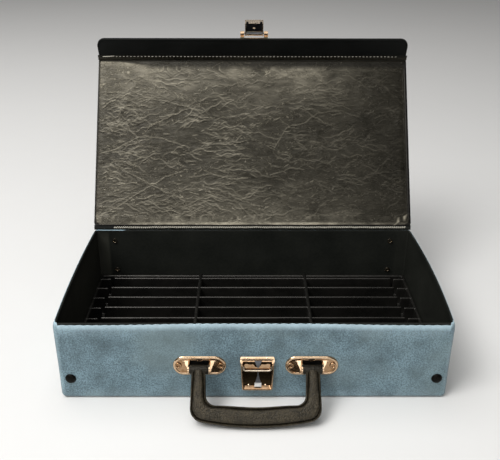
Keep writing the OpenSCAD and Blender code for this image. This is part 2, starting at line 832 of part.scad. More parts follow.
module handle_plate_rivets() {
    color("#b98f63") for (spot = plate_rivet_spots) on_front(spot[0], spot[1])
        translate([0, 0, rivet_seat]) tube_rivet(rivet_seat + panel_t);
}

module handle_pins() {
    pin_l = ear_gap + 2 * ear_t;
    color("#8d8d90") for (x = plate_spots) translate([x, pin_y, pin_z]) rotate([0, 90, 0])
        cylinder(d = pin_d, h = pin_l, center = true);
}

// Outline of the handle hanging down from the pins, drawn in by the inset
module grip_outline(inset = 0) {
    far = 2 * grip_bow_r;
    slope = atan2(corner_x, bow_z + corner_drop);
    difference() {
        union() {
            translate([-grip_w / 2 + inset, -corner_drop])
                square([grip_w - 2 * inset, corner_drop - leg_start]);
            for (side = [-1, 1])
                translate([side * corner_x, -corner_drop]) circle(r = grip_corner_r - inset);
            intersection() {
                translate([0, bow_z]) circle(r = grip_bow_r - inset, $fn = 256);
                polygon([
                    [0, bow_z],
                    [-far * sin(slope), bow_z - far * cos(slope)],
                    [far * sin(slope), bow_z - far * cos(slope)]
                ]);
                translate([-grip_w / 2, -2 * grip_reach]) square([grip_w, 2 * grip_reach - leg_start]);
            }
        }
        translate([-grip_gap / 2 - inset, -grip_inner + gap_corner_r])
            square([grip_gap + 2 * inset, grip_inner]);
        translate([-grip_gap / 2 + gap_corner_r, -grip_inner - inset])
            square([grip_gap - 2 * gap_corner_r, grip_inner + inset]);
        for (side = [-1, 1])
            translate([side * (grip_gap / 2 - gap_corner_r), -grip_inner + gap_corner_r])
                circle(r = gap_corner_r + inset);
    }
}

// Moulded handle: grip, two legs and a bored barrel at the top of each leg
module handle() {
    color("#17161a") translate([handle_x, pin_y, pin_z]) rotate([-handle_out, 0, 0]) difference() {
        union() {
            rotate([90, 0, 0]) {
                linear_extrude(height = border_t, center = true) grip_outline();
                linear_extrude(height = grip_t, center = true) grip_outline(border_step);
            }
            for (side = [-1, 1]) translate([side * plate_pitch / 2, 0, 0]) rotate([0, 90, 0])
                cylinder(d = barrel_d, h = barrel_l, center = true);
        }
        for (side = [-1, 1]) translate([side * plate_pitch / 2, 0, 0]) rotate([0, 90, 0])
            cylinder(d = pin_d + 2 * turn_fit, h = 2 * barrel_l, center = true);
    }
}

// Outline of the catch, a little narrower at its foot, drawn in by the inset
module catch_outline(inset = 0) {
    low = catch_low_w / 2 - inset;
    high = catch_top_w / 2 - inset;
    polygon([[-low, inset], [low, inset], [high, catch_h - inset], [-high, catch_h - inset]]);
}

// Part of the catch's outline between two heights
module catch_band(from, to, inset = 0) {
    intersection() {
        catch_outline(inset);
        translate([-catch_top_w, from]) square([2 * catch_top_w, to - from]);
    }
}

module catch_body() {
    cheek_x = slider_w / 2 - cheek_over;
    color("#c79a68") difference() {
        on_front(catch_x, catch_z) {
            linear_extrude(height = catch_t) catch_outline();
            linear_extrude(height = catch_out) difference() {
                catch_outline();
                catch_outline(catch_wall_t);
            }
            linear_extrude(height = hood_out) difference() {
                catch_band(cheek_y, catch_h);
                catch_outline(catch_wall_t);
            }
            translate([0, 0, hood_out - catch_t]) linear_extrude(height = catch_t) {
                catch_band(hood_y, catch_h);
                difference() {
                    catch_band(cheek_y, catch_h);
                    translate([-cheek_x, 0]) square([2 * cheek_x, catch_h]);
                }
                for (side = [-1, 1]) translate([side * tooth_x, hood_y])
                    polygon([
                        [-tooth_w / 2, tooth_root], [tooth_w / 2, tooth_root],
                        [tooth_w / 2, 0], [0, -tooth_h], [-tooth_w / 2, 0]
                    ]);
            }
            linear_extrude(height = sill_out) catch_band(0, catch_wall_t + sill_h);
        }
        catch_rivet_holes();
    }
}

// Flat steel spring: wide head under the hood, waist through the slider, foot at the sill
module catch_spring() {
    rise = spring_front + spring_t - spring_back;
    color("#6c6c70") on_front(catch_x, catch_z) {
        translate([0, 0, spring_front]) linear_extrude(height = spring_t) polygon([
            [-spring_waist_w / 2, spring_waist_y - spring_t], [spring_waist_w / 2, spring_waist_y - spring_t],
            [spring_waist_w / 2, spring_waist_y], [spring_top_w / 2, hood_y + spring_tuck],
            [spring_top_w / 2, spring_head_y], [-spring_top_w / 2, spring_head_y],
            [-spring_top_w / 2, hood_y + spring_tuck], [-spring_waist_w / 2, spring_waist_y]
        ]);
        translate([-spring_top_w / 2, spring_head_y - spring_t, spring_back]) cube([spring_top_w, spring_t, rise]);
        translate([-spring_waist_w / 2, spring_waist_y - spring_t, spring_back])
            cube([spring_waist_w, spring_t, rise]);
        translate([0, 0, spring_back]) linear_extrude(height = spring_t) polygon([
            [-spring_foot_w / 2, spring_foot_y], [spring_foot_w / 2, spring_foot_y],
            [spring_foot_w / 2, spring_foot_y + spring_hook_h],
            [spring_waist_w / 2, spring_waist_y], [-spring_waist_w / 2, spring_waist_y],
            [-spring_foot_w / 2, spring_foot_y + spring_hook_h]
        ]);
        translate([-spring_foot_w / 2, spring_foot_y, spring_back]) cube([spring_foot_w, spring_t, spring_hook_out]);
        translate([-spring_foot_w / 2, spring_foot_y, spring_back + spring_hook_out - spring_t])
            cube([spring_foot_w, spring_hook_h, spring_t]);
    }
}

module catch_rivets() {
    color("#c9a57c") for (spot = catch_rivet_spots) on_front(spot[0], spot[1])
        translate([0, 0, catch_t]) small_rivet(catch_t + wall_t);
}

// Outline of the slider, with its two lower corners round
module slider_outline() {
    translate([0, slider_y + slider_h / 2])
        panel_outline(slider_w, slider_h, slider_r, sharp_r);
}

module catch_slider() {
    color("#d3a877") on_front(catch_x, catch_z) difference() {
        union() {
            translate([0, 0, slider_back]) linear_extrude(height = slider_t) slider_outline();
            translate([0, 0, slider_back]) linear_extrude(height = slider_t + slider_rim_h) difference() {
                slider_outline();
                translate([0, slider_y + slider_h / 2 + ridge_h])
                    square([slider_w - 2 * slider_rim_t, slider_h], center = true);
            }
            translate([0, 0, slider_back]) linear_extrude(height = ridge_out - slider_back)
                intersection() {
                    slider_outline();
                    translate([-slider_w, slider_y]) square([2 * slider_w, ridge_h]);
                }
            translate([-slider_w / 2 + slider_r, slider_y, ridge_out - lip_t])
                cube([slider_w - 2 * slider_r, ridge_h + lip_h, lip_t]);
        }
        translate([-spring_slot_w / 2, spring_slot_y, 0])
            cube([spring_slot_w, spring_slot_h, slider_front + spring_gap / 2]);
        translate([-slider_w, slider_y + (ridge_h - groove_h) / 2, ridge_out - groove_t])
            cube([2 * slider_w, groove_h, over]);
    }
}

// Half of the vinyl hinge at the rear, standing on the base
module hinge_strip_base() {
    color("#5f84a8") translate([-strip_w / 2, hinge_y - strip_t / 2, case_h])
        cube([strip_w, strip_t, lid_mid - strip_gap - case_h]);
}

// Outline of the lid seen from above, drawn in by the inset
module lid_outline(inset = 0) {
    translate([0, (lid_front_y + lid_rear_y) / 2])
        panel_outline(lid_w, lid_d, fold_corner_r, lid_rear_r, inset);
}

module lid_board() {
    color("#8a6a4a") with_lid() translate([0, 0, lid_under + lining_t])
        linear_extrude(height = board_t) lid_outline(skin_t);
}

module lid_cover() {
    color("#5f84a8") with_lid() translate([0, 0, lid_under + lining_t]) {
        translate([0, 0, board_t]) linear_extrude(height = skin_t) lid_outline();
        linear_extrude(height = board_t) difference() {
            lid_outline();
            lid_outline(skin_t);
        }
    }
}

module lid_lining() {
    color("#3a3835") with_lid() translate([0, 0, lid_under])
        linear_extrude(height = lining_t) lid_outline();
}

// Half of the vinyl hinge at the rear, on the lid's edge
module hinge_strip_lid() {
    color("#5f84a8") with_lid() translate([-strip_w / 2, lid_rear_y, lid_mid - strip_t / 2])
        cube([strip_w, hinge_gap - strip_gap, strip_t]);
}

// Half of the vinyl fold at the front, on the lid's edge
module fold_strip_lid() {
    color("#5f84a8") with_lid() translate([-flap_strip_w / 2, fold_y + strip_gap, lid_mid - strip_t / 2])
        cube([flap_strip_w, hinge_gap - strip_gap, strip_t]);
}

// Outline of the closed flap seen from the front, drawn in by the inset
module flap_outline(inset = 0) {
    translate([0, (flap_rim_z + flap_top_z) / 2])
        panel_outline(flap_w, flap_top_z - flap_rim_z, flap_corner_r, fold_corner_r, inset);
}

module hasp_rivet_holes() {
    for (side = [-1, 1]) on_front(hasp_x + side * hasp_rivet_x, flap_rim_z + hasp_rivet_y)
        cylinder(d = pin_rivet_d + 2 * seat_fit, h = 4 * panel_t);
}

module flap_board() {
    color("#8a6a4a") with_flap() difference() {
        on_front(0, 0) translate([0, 0, flap_gap + lining_t])
            linear_extrude(height = board_t) flap_outline(skin_t);
        hasp_rivet_holes();
    }
}

module flap_cover() {
    color("#5f84a8") with_flap() difference() {
        on_front(0, 0) translate([0, 0, flap_gap + lining_t]) {
            translate([0, 0, board_t]) linear_extrude(height = skin_t) flap_outline();
            linear_extrude(height = board_t) difference() {
                flap_outline();
                flap_outline(skin_t);
            }
        }
        hasp_rivet_holes();
    }
}

module flap_lining() {
    color("#141416") with_flap() on_front(0, 0) translate([0, 0, flap_gap])
        linear_extrude(height = lining_t) flap_outline();
}

// Half of the vinyl fold at the front, on the flap's edge
module fold_strip_flap() {
    color("#5f84a8") with_flap() translate([-flap_strip_w / 2, fold_y - strip_t / 2, flap_top_z])
        cube([flap_strip_w, strip_t, hinge_gap - strip_gap]);
}

// Side view of a knuckle of the base plate: Y is the height, Z the distance from the front
module knuckle() {
    foot_z = flap_rim_z + knuckle_up;
    rotate([90, 0, 90]) linear_extrude(height = knuckle_w) difference() {
        union() {
            translate([hasp_pin_z, hasp_pin_out]) circle(r = knuckle_r);
            translate([hasp_pin_z, hasp_pin_out - knuckle_r]) square([foot_z - hasp_pin_z, knuckle_r]);
            translate([flap_rim_z - knuckle_down, flap_out])
                square([knuckle_up + knuckle_down, hasp_pin_out - flap_out - knuckle_back]);
        }
        translate([hasp_pin_z, hasp_pin_out]) circle(d = hasp_pin_d + 2 * seat_fit);
    }
}

module hasp_base() {
    clear_z = hasp_pin_z + hasp_end_r + hasp_top_gap;
    color("#c79a68") with_flap() difference() {
        on_front(hasp_x, 0) {
            translate([-hasp_base_w / 2, clear_z, flap_out])
                cube([hasp_base_w, flap_rim_z + hasp_base_h - clear_z, hasp_base_t]);
            translate([hasp_base_w / 2 - knuckle_w, 0, 0]) knuckle();
            translate([-hasp_base_w / 2, 0, 0]) knuckle();
        }
        hasp_rivet_holes();
    }
}

module hasp_base_rivets() {
    color("#c9a57c") with_flap() for (side = [-1, 1])
        on_front(hasp_x + side * hasp_rivet_x, flap_rim_z + hasp_rivet_y)
            translate([0, 0, flap_out + hasp_base_t]) small_rivet(hasp_base_t + wall_t);
}

module hasp_pin() {
    color("#8d8d90") with_flap() on_front(hasp_x, hasp_pin_z) translate([0, 0, hasp_pin_out])
        rotate([0, 90, 0]) cylinder(d = hasp_pin_d, h = hasp_base_w, center = true);
}

// Side view of the hasp, rounded over its pin: X is the height, Y the distance from the front
module hasp_side(inset = 0) {
    translate([hasp_low_z + inset, hasp_in + inset])
        square([hasp_pin_z - hasp_low_z - inset, hasp_deep - 2 * inset]);
    translate([hasp_pin_z, hasp_pin_out]) circle(r = hasp_end_r - inset);
}

// Pressed box, open towards the case, that closes over the catch
module hasp() {
    color("#cfc3b4") with_flap() difference() {
        on_front(hasp_x, 0) difference() {
            translate([-hasp_w / 2, 0, 0]) rotate([90, 0, 90])
                linear_extrude(height = hasp_w) hasp_side();
            translate([-hasp_w / 2 + hasp_t, 0, 0]) rotate([90, 0, 90])
                linear_extrude(height = hasp_w - 2 * hasp_t) {
                    hasp_side(hasp_t);
                    translate([hasp_low_z + hasp_t, 0]) square([2 * hasp_deep + hasp_pin_z - hasp_low_z, hasp_pin_out]);
                }
            translate([0, hasp_low_z + tongue_rivet_y, hasp_in])
                cylinder(d = pin_rivet_d + 2 * seat_fit, h = 2 * hasp_deep);
        }
        on_front(hasp_x, hasp_pin_z) translate([0, 0, hasp_pin_out]) rotate([0, 90, 0])
            cylinder(d = hasp_pin_d + 2 * turn_fit, h = 2 * hasp_w, center = true);
    }
}

// Steel plate inside the hasp, with two prongs that reach behind the slider's lip
module hasp_tongue() {
    plate_out = hasp_outer - hasp_t - tongue_t;
    prong_end = prong_x + prong_w;
    color("#4a4a4e") with_flap() on_front(hasp_x, 0) difference() {
        union() {
            translate([-prong_end, arm_z, plate_out]) cube([2 * prong_end, tongue_h, tongue_t]);
            for (side = [-1, 1]) translate([side * (prong_x + prong_w / 2) - prong_w / 2, 0, 0]) {
                translate([0, arm_z, prong_in]) cube([prong_w, arm_h, plate_out + tongue_t - prong_in]);
                translate([0, prong_z, prong_in]) cube([prong_w, arm_z + arm_h - prong_z, prong_t]);
            }
        }
        translate([0, hasp_low_z + tongue_rivet_y, 0])
            cylinder(d = pin_rivet_d + 2 * seat_fit, h = 2 * hasp_outer);
    }
}

module hasp_tongue_rivet() {
    inner = hasp_outer - hasp_t - tongue_t;
    color("#b9b4ac") with_flap() on_front(hasp_x, hasp_low_z + tongue_rivet_y) {
        translate([0, 0, hasp_outer]) small_rivet(hasp_t + tongue_t);
        translate([0, 0, inner]) mirror([0, 0, 1]) dome(pin_rivet_head_d, pin_rivet_head_h);
    }
}

bottom_cover();
base_cover();
bottom_board();
front_board();
rear_board();
left_board();
right_board();
base_lining();
tray();
front_studs();
rear_feet();
rear_foot_rivets();
handle_plate_left();
handle_plate_right();
handle_plate_rivets();
handle_pins();
catch_body();
catch_spring();
catch_rivets();
hinge_strip_base();
catch_slider();
handle();
lid_board();
lid_cover();
lid_lining();
hinge_strip_lid();
fold_strip_lid();
flap_board();
flap_cover();
flap_lining();
fold_strip_flap();
hasp_base();
hasp_base_rivets();
hasp_pin();
hasp();
hasp_tongue();
hasp_tongue_rivet();
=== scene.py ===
import json
import math

import bmesh
import bpy
import numpy as np
from mathutils import Matrix, Vector


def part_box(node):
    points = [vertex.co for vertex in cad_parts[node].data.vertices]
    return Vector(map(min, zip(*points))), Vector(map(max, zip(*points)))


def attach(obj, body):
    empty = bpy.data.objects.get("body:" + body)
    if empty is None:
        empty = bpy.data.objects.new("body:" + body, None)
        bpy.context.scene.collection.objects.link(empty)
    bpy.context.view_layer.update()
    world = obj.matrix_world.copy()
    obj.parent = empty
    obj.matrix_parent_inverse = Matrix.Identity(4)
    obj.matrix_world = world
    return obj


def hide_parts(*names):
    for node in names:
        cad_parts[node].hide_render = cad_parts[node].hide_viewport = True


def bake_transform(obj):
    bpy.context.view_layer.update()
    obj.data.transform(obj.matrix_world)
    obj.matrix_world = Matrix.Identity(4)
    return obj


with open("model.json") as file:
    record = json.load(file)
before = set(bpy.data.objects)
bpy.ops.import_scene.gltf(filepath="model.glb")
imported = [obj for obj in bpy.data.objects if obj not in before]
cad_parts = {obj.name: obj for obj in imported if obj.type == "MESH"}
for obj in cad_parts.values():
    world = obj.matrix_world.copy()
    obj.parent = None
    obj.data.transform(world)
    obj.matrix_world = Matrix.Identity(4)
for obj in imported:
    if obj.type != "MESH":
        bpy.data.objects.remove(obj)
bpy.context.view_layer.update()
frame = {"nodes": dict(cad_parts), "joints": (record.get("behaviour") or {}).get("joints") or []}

bl_info = {
    "name": "Vinyl travel case",
    "version": (1, 0, 0),
    "blender": (4, 5, 0),
    "location": "View3D > Sidebar > Case",
    "description": "Gives the packed travel case its finished vinyl, plastic and metal surfaces",
    "category": "Object",
}

# Lengths are worked out in millimetres and become metres when a mesh is made.
MM = 0.001
JOINTS = {joint["name"]: joint for joint in frame["joints"]}


def corners(node):
    """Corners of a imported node's mesh, in millimetres."""
    mesh = frame["nodes"][node].data
    co = np.empty(len(mesh.vertices) * 3)
    mesh.vertices.foreach_get("co", co)
    return co.reshape(-1, 3) / MM


def box(node):
    """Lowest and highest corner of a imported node, in millimetres."""
    low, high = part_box(node)
    return np.array(low) / MM, np.array(high) / MM


def front_middle(node):
    """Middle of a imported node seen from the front: its place across and its height, in millimetres."""
    low, high = box(node)
    return (low[0] + high[0]) / 2, (low[2] + high[2]) / 2


class Axes:
    """A flat part's own axes: x to the right, up along the part, out from its inner to its outer side."""

    def __init__(self, origin, up, out):
        self.origin = np.array(origin, float)
        self.up = np.array(up, float)
        self.out = np.array(out, float)

    def at(self, x, up, out):
        """Origin plus x along X, plus the other two lengths along their own directions."""
        x, up, out = np.broadcast_arrays(np.asarray(x, float), up, out)
        point = self.origin + up[..., None] * self.up + out[..., None] * self.out
        point[..., 0] += x
        return point

    def span(self, node, direction):
        """Least and greatest reach of a node along one of the two directions."""
        reach = (corners(node) - self.origin) @ getattr(self, direction)
        return reach.min(), reach.max()


def pivot(joint):
    """Place of a joint in millimetres and the angle in radians that closes it from rest."""
    row = JOINTS[joint]
    return np.array(row["pos_m"]) / MM, -math.radians(row["range_deg"][0])


HINGE, LID_ANGLE = pivot("lid_hinge")
FOLD, FLAP_ANGLE = pivot("flap_fold")
PINS, GRIP_ANGLE = pivot("handle_swing")
FLAP_TURN = LID_ANGLE + FLAP_ANGLE

COVER_LOW, COVER_HIGH = box("base_cover")
WIDTH, DEPTH, HEIGHT = COVER_HIGH[0] - COVER_LOW[0], COVER_HIGH[1] - COVER_LOW[1], COVER_HIGH[2]
HALF_W, HALF_D = WIDTH / 2, DEPTH / 2

LID = Axes(HINGE, (0, -math.cos(LID_ANGLE), math.sin(LID_ANGLE)),
           (0, math.sin(LID_ANGLE), math.cos(LID_ANGLE)))
FLAP = Axes(FOLD, (0, -math.sin(FLAP_TURN), -math.cos(FLAP_TURN)),
            (0, -math.cos(FLAP_TURN), math.sin(FLAP_TURN)))
GRIP = Axes(PINS, (0, -math.sin(GRIP_ANGLE), -math.cos(GRIP_ANGLE)),
            (0, -math.cos(GRIP_ANGLE), math.sin(GRIP_ANGLE)))
FRONT = Axes((0, -HALF_D, 0), (0, 0, 1), (0, -1, 0))
REAR = Axes((0, HALF_D, 0), (0, 0, 1), (0, 1, 0))


# Number work

def smooth(t):
    """Smooth step: three t squared less two t cubed, held between 0 and 1."""
    t = np.clip(t, 0, 1)
    return t * t * (3 - 2 * t)


def cloud(a, b, size, seed):
    """Smooth noise from -1 to 1: random values on a square lattice of the given size, which repeats after 64
    cells, joined by smooth steps."""
    cells = 64
    lattice = np.random.default_rng(seed).uniform(-1, 1, (cells, cells))
    p, q = np.asarray(a) / size, np.asarray(b) / size
    i, j = np.floor(p).astype(int), np.floor(q).astype(int)
    u, v = smooth(p - i), smooth(q - j)

    def across(row):
        """Values between two corners of a cell, along one of its sides"""
        side = (j + row) % cells
        return lattice[i % cells, side] * (1 - u) + lattice[(i + 1) % cells, side] * u

    return across(0) * (1 - v) + across(1) * v


def creases(a, b, size, seed, power=7):
    """Thin ridges from 0 to 1: one less the size of warped noise, raised to a power, so that its zero lines
    stand out."""
    warp_a = a + 0.45 * size * cloud(a, b, size * 0.7, seed + 1)
    warp_b = b + 0.45 * size * cloud(a, b, size * 0.7, seed + 2)
    return (1 - np.abs(cloud(warp_a, warp_b, size, seed))) ** power


def unit(angles):
    """Directions of length one at the given angles."""
    return np.stack([np.cos(angles), np.sin(angles)], -1)


def leftwards(path):
    """Direction to the left of a flat path at each of its points, of length one."""
    ahead = np.gradient(path, axis=0)
    ahead /= np.linalg.norm(ahead, axis=1, keepdims=True)
    return np.stack([-ahead[:, 1], ahead[:, 0]], -1)


def apart(values, least):
    """Sorted values without those that follow another too closely."""
    return values[np.concatenate([[True], np.diff(values) > least])]


# Meshes

def quads(rows, cols, wrap_rows=False, wrap_cols=False):
    """Corner numbers of the faces of a grid, whose rows or columns may close on themselves."""
    i, j = np.meshgrid(np.arange(rows if wrap_rows else rows - 1),
                       np.arange(cols if wrap_cols else cols - 1), indexing="ij")
    i2, j2 = (i + 1) % rows, (j + 1) % cols
    return np.stack([i * cols + j, i2 * cols + j, i2 * cols + j2, i * cols + j2], -1).reshape(-1, 4)


def grid(points, wrap_rows=False, wrap_cols=False):
    """Block of corners and faces from a grid of points."""
    rows, cols = points.shape[:2]
    return points.reshape(-1, 3), quads(rows, cols, wrap_rows, wrap_cols).tolist()


def tube(points):
    """Closed body from rings of points: the rings are joined, and the first and the last are filled."""
    rows, cols = points.shape[:2]
    faces = quads(rows, cols, wrap_cols=True).tolist()
    faces += [list(range(cols))[::-1], list(range((rows - 1) * cols, rows * cols))]
    return points.reshape(-1, 3), faces


def border(rows, cols):
    """Corner numbers once round the outside of a grid."""
    n = np.arange(rows * cols).reshape(rows, cols)
    return np.concatenate([n[:, 0], n[-1, 1:], n[-2::-1, -1], n[0, -2:0:-1]])


def slab(top, bottom, rings=()):
    """Closed body between two grids of the same size, joined round their outsides through the rings between
    them."""
    rows, cols = top.shape[:2]
    count = rows * cols
    edge = border(rows, cols)
    size = len(edge)
    points = [top.reshape(-1, 3), bottom.reshape(-1, 3)] + list(rings)
    loops = [edge] + [2 * count + k * size + np.arange(size) for k in range(len(rings))] + [edge + count]
    faces = [quads(rows, cols), quads(rows, cols)[:, ::-1] + count]
    for upper, lower in zip(loops, loops[1:]):
        faces.append(np.stack([upper, np.roll(upper, -1), np.roll(lower, -1), lower], -1))
    return np.concatenate(points), np.concatenate(faces).tolist()


def prism(outline, low, high, place):
    """Closed body whose outline, in two of a part's directions, is carried from one level to another."""
    first, second = np.array(outline, float).T
    return tube(np.stack([place(first, second, level) for level in (low, high)]))


def lathe(profile, centre, axes, steps=40):
    """Ring-shaped body: a closed profile of radius and height is turned round the part's outward
    direction."""
    profile = np.array(profile, float)
    angle = np.linspace(0, 2 * math.pi, steps, endpoint=False)[:, None]
    rings = axes.at(centre[0] + profile[:, 0] * np.cos(angle), centre[1] + profile[:, 0] * np.sin(angle),
                    profile[:, 1] + 0 * angle)
    return grid(rings, wrap_rows=True, wrap_cols=True)


def show(name, mesh, finish, sharp):
    """Object for a mesh, with one finish. It is smooth but for edges sharper than an angle in degrees."""
    made = bpy.data.objects.new(name, mesh)
    bpy.context.scene.collection.objects.link(made)
    mesh.polygons.foreach_set("use_smooth", np.ones(len(mesh.polygons), bool))
    mesh.set_sharp_from_angle(angle=math.radians(sharp))
    mesh.materials.clear()
    mesh.materials.append(material(finish))
    return made


def make(name, blocks, finish, sharp=38, away=None, fade=None):
    """Mesh object from blocks of corners and faces in millimetres. Closed bodies get their faces turned
    outwards. A sheet gives a point in away: its faces then look away from that point. Values for its corners
    are kept under their labels in fade."""
    points, faces, start = [], [], 0
    for block_points, block_faces in blocks:
        points.append(block_points)
        faces += [[corner + start for corner in face] for face in block_faces]
        start += len(block_points)
    points = np.concatenate(points)
    mesh = bpy.data.meshes.new(name)
    mesh.from_pydata((points * MM).tolist(), [], faces)
    for label, values in (fade or {}).items():
        values = np.asarray(values, np.float32)
        kind, field = ("FLOAT_VECTOR", "vector") if values.ndim == 2 else ("FLOAT", "value")
        mesh.attributes.new(label, kind, "POINT").data.foreach_set(field, values.ravel())
    shape = bmesh.new()
    shape.from_mesh(mesh)
    bmesh.ops.remove_doubles(shape, verts=shape.verts, dist=0.002 * MM)
    bmesh.ops.dissolve_degenerate(shape, edges=shape.edges, dist=0.001 * MM)
    if away is None:
        bmesh.ops.recalc_face_normals(shape, faces=shape.faces)
    else:
        reference = Vector(away) * MM
        if sum(face.normal @ (face.calc_center_median() - reference) for face in shape.faces) < 0:
            bmesh.ops.reverse_faces(shape, faces=shape.faces)
    shape.to_mesh(mesh)
    shape.free()
    return show(name, mesh, finish, sharp)


def thicken(piece, thickness):
    """Gives a sheet its wall, behind the side that shows."""
    wall = piece.modifiers.new("wall", "SOLIDIFY")
    wall.thickness = thickness * MM
    wall.offset = -1
    wall.use_even_offset = True
    return piece


def bevelled(name, node, finish, width, sharp=30):
    """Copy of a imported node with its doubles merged, its flat faces joined and its edges rounded."""
    shape = bmesh.new()
    shape.from_mesh(frame["nodes"][node].data)
    bmesh.ops.remove_doubles(shape, verts=shape.verts, dist=0.001 * MM)
    bmesh.ops.dissolve_limit(shape, angle_limit=math.radians(0.5), verts=shape.verts, edges=shape.edges)
    bmesh.ops.recalc_face_normals(shape, faces=shape.faces)
    mesh = bpy.data.meshes.new(name)
    shape.to_mesh(mesh)
    shape.free()
    made = show(name, mesh, finish, sharp)
    round_edges = made.modifiers.new("round edges", "BEVEL")
    round_edges.width = width * MM
    round_edges.segments = 2
    round_edges.limit_method = "ANGLE"
    round_edges.angle_limit = math.radians(sharp)
    flatten = made.modifiers.new("flat faces", "WEIGHTED_NORMAL")
    flatten.keep_sharp = True
    return made


def settle(piece, body, slot, *nodes):
    """Lets a piece ride on its body and hides the nodes that it stands for. Its slot is not used."""
    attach(piece, body)
    if nodes:
        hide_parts(*nodes)
    return piece


# Shader nodes

def lead(tree, value, socket):
    """Links an output to a socket, or gives the socket a value of its own. Colours are opaque."""
    if isinstance(value, bpy.types.NodeSocket):
        tree.links.new(value, socket)
    elif socket.type == "RGBA":
        socket.default_value = (*value[:3], 1)
    else:
        socket.default_value = value


def put(tree, kind, inputs=None, **settings):
    """Adds a node, with its settings and with values or links for its inputs."""
    made = tree.nodes.new(kind)
    for name, value in settings.items():
        setattr(made, name, value)
    for name, value in (inputs or {}).items():
        lead(tree, value, made.inputs[name])
    return made


def maths(tree, operation, a, b=0.0, clamp=False):
    """Result of a sum on two values or sockets."""
    return put(tree, "ShaderNodeMath", {0: a, 1: b}, operation=operation, use_clamp=clamp).outputs[0]


def times(tree, a, b, clamp=False):
    """Product of two values or sockets."""
    return maths(tree, "MULTIPLY", a, b, clamp)


def noise(tree, where, scale, detail=2.0, **more):
    """Cloudy noise from 0 to 1."""
    inputs = {"Vector": where, "Scale": scale, "Detail": detail, **more}
    return put(tree, "ShaderNodeTexNoise", inputs).outputs[0]


def turned(tree, where, **inputs):
    """Coordinates turned, moved or drawn out."""
    return put(tree, "ShaderNodeMapping", {"Vector": where, **inputs}).outputs[0]


def kept(tree, label, output="Fac"):
    """Value that a mesh keeps for each of its corners."""
    return put(tree, "ShaderNodeAttribute", attribute_name=label).outputs[output]


def spread(tree, value, low, high, to_low=0.0, to_high=1.0):
    """Value carried from one range to another and held there."""
    return put(tree, "ShaderNodeMapRange", {0: value, 1: low, 2: high, 3: to_low, 4: to_high}).outputs[0]


def blend_colours(tree, share, first, second):
    """Mix of two colours."""
    mix = put(tree, "ShaderNodeMix", data_type="RGBA")
    for identifier, value in (("Factor_Float", share), ("A_Color", first), ("B_Color", second)):
        lead(tree, value, next(socket for socket in mix.inputs if socket.identifier == identifier))
    return next(socket for socket in mix.outputs if socket.identifier == "Result_Color")


def new_group(name, inputs, outputs):
    """Empty node group with named sockets: its tree, its inputs and the node that takes its results."""
    tree = bpy.data.node_groups.new(name, "ShaderNodeTree")
    for label, kind, value in inputs:
        socket = tree.interface.new_socket(name=label, in_out="INPUT", socket_type=kind)
        if value is not None:
            socket.default_value = value
    for label, kind in outputs:
        tree.interface.new_socket(name=label, in_out="OUTPUT", socket_type=kind)
    source = tree.nodes.new("NodeGroupInput").outputs
    result = tree.nodes.new("NodeGroupOutput").inputs
    return tree, source, result


FLOAT, COLOUR, VECTOR = "NodeSocketFloat", "NodeSocketColor", "NodeSocketVector"


def hide_grain():
    """Grain of vinyl: the distance to the nearest of scattered points, over a finer noise."""
    tree, source, result = new_group(
        "hide grain", [("Vector", VECTOR, None), ("Scale", FLOAT, 800.0)],
        [("Height", FLOAT), ("Pits", FLOAT)])
    where, scale = source["Vector"], source["Scale"]
    warp = noise(tree, where, times(tree, scale, 0.4)).node.outputs["Color"]
    shift = put(tree, "ShaderNodeVectorMath", {0: warp, 1: (0.0006,) * 3}, operation="MULTIPLY").outputs[0]
    moved = put(tree, "ShaderNodeVectorMath", {0: where, 1: shift}, operation="ADD").outputs[0]
    distance = put(tree, "ShaderNodeTexVoronoi", {"Vector": moved, "Scale": scale}).outputs["Distance"]
    fine = noise(tree, where, times(tree, scale, 2.5), 3.0)
    height = maths(tree, "ADD", maths(tree, "SUBTRACT", 1.0, distance), times(tree, fine, 0.5))
    tree.links.new(height, result["Height"])
    tree.links.new(spread(tree, distance, 0.35, 0.75), result["Pits"])
    return tree


def mottle():
    """Uneven colour: two sizes of noise mix a low and a high colour."""
    tree, source, result = new_group(
        "mottle", [("Vector", VECTOR, None), ("Scale", FLOAT, 60.0), ("Fine", FLOAT, 8.0),
                   ("Low", COLOUR, None), ("High", COLOUR, None)],
        [("Colour", COLOUR), ("Mask", FLOAT)])
    where, scale = source["Vector"], source["Scale"]
    broad = noise(tree, where, scale, 3.0)
    fine = noise(tree, where, times(tree, scale, source["Fine"]), 4.0, Roughness=0.7)
    mask = spread(tree, maths(tree, "ADD", times(tree, broad, 0.55), times(tree, fine, 0.45)), 0.34, 0.66)
    tree.links.new(blend_colours(tree, mask, source["Low"], source["High"]), result["Colour"])
    tree.links.new(mask, result["Mask"])
    return tree


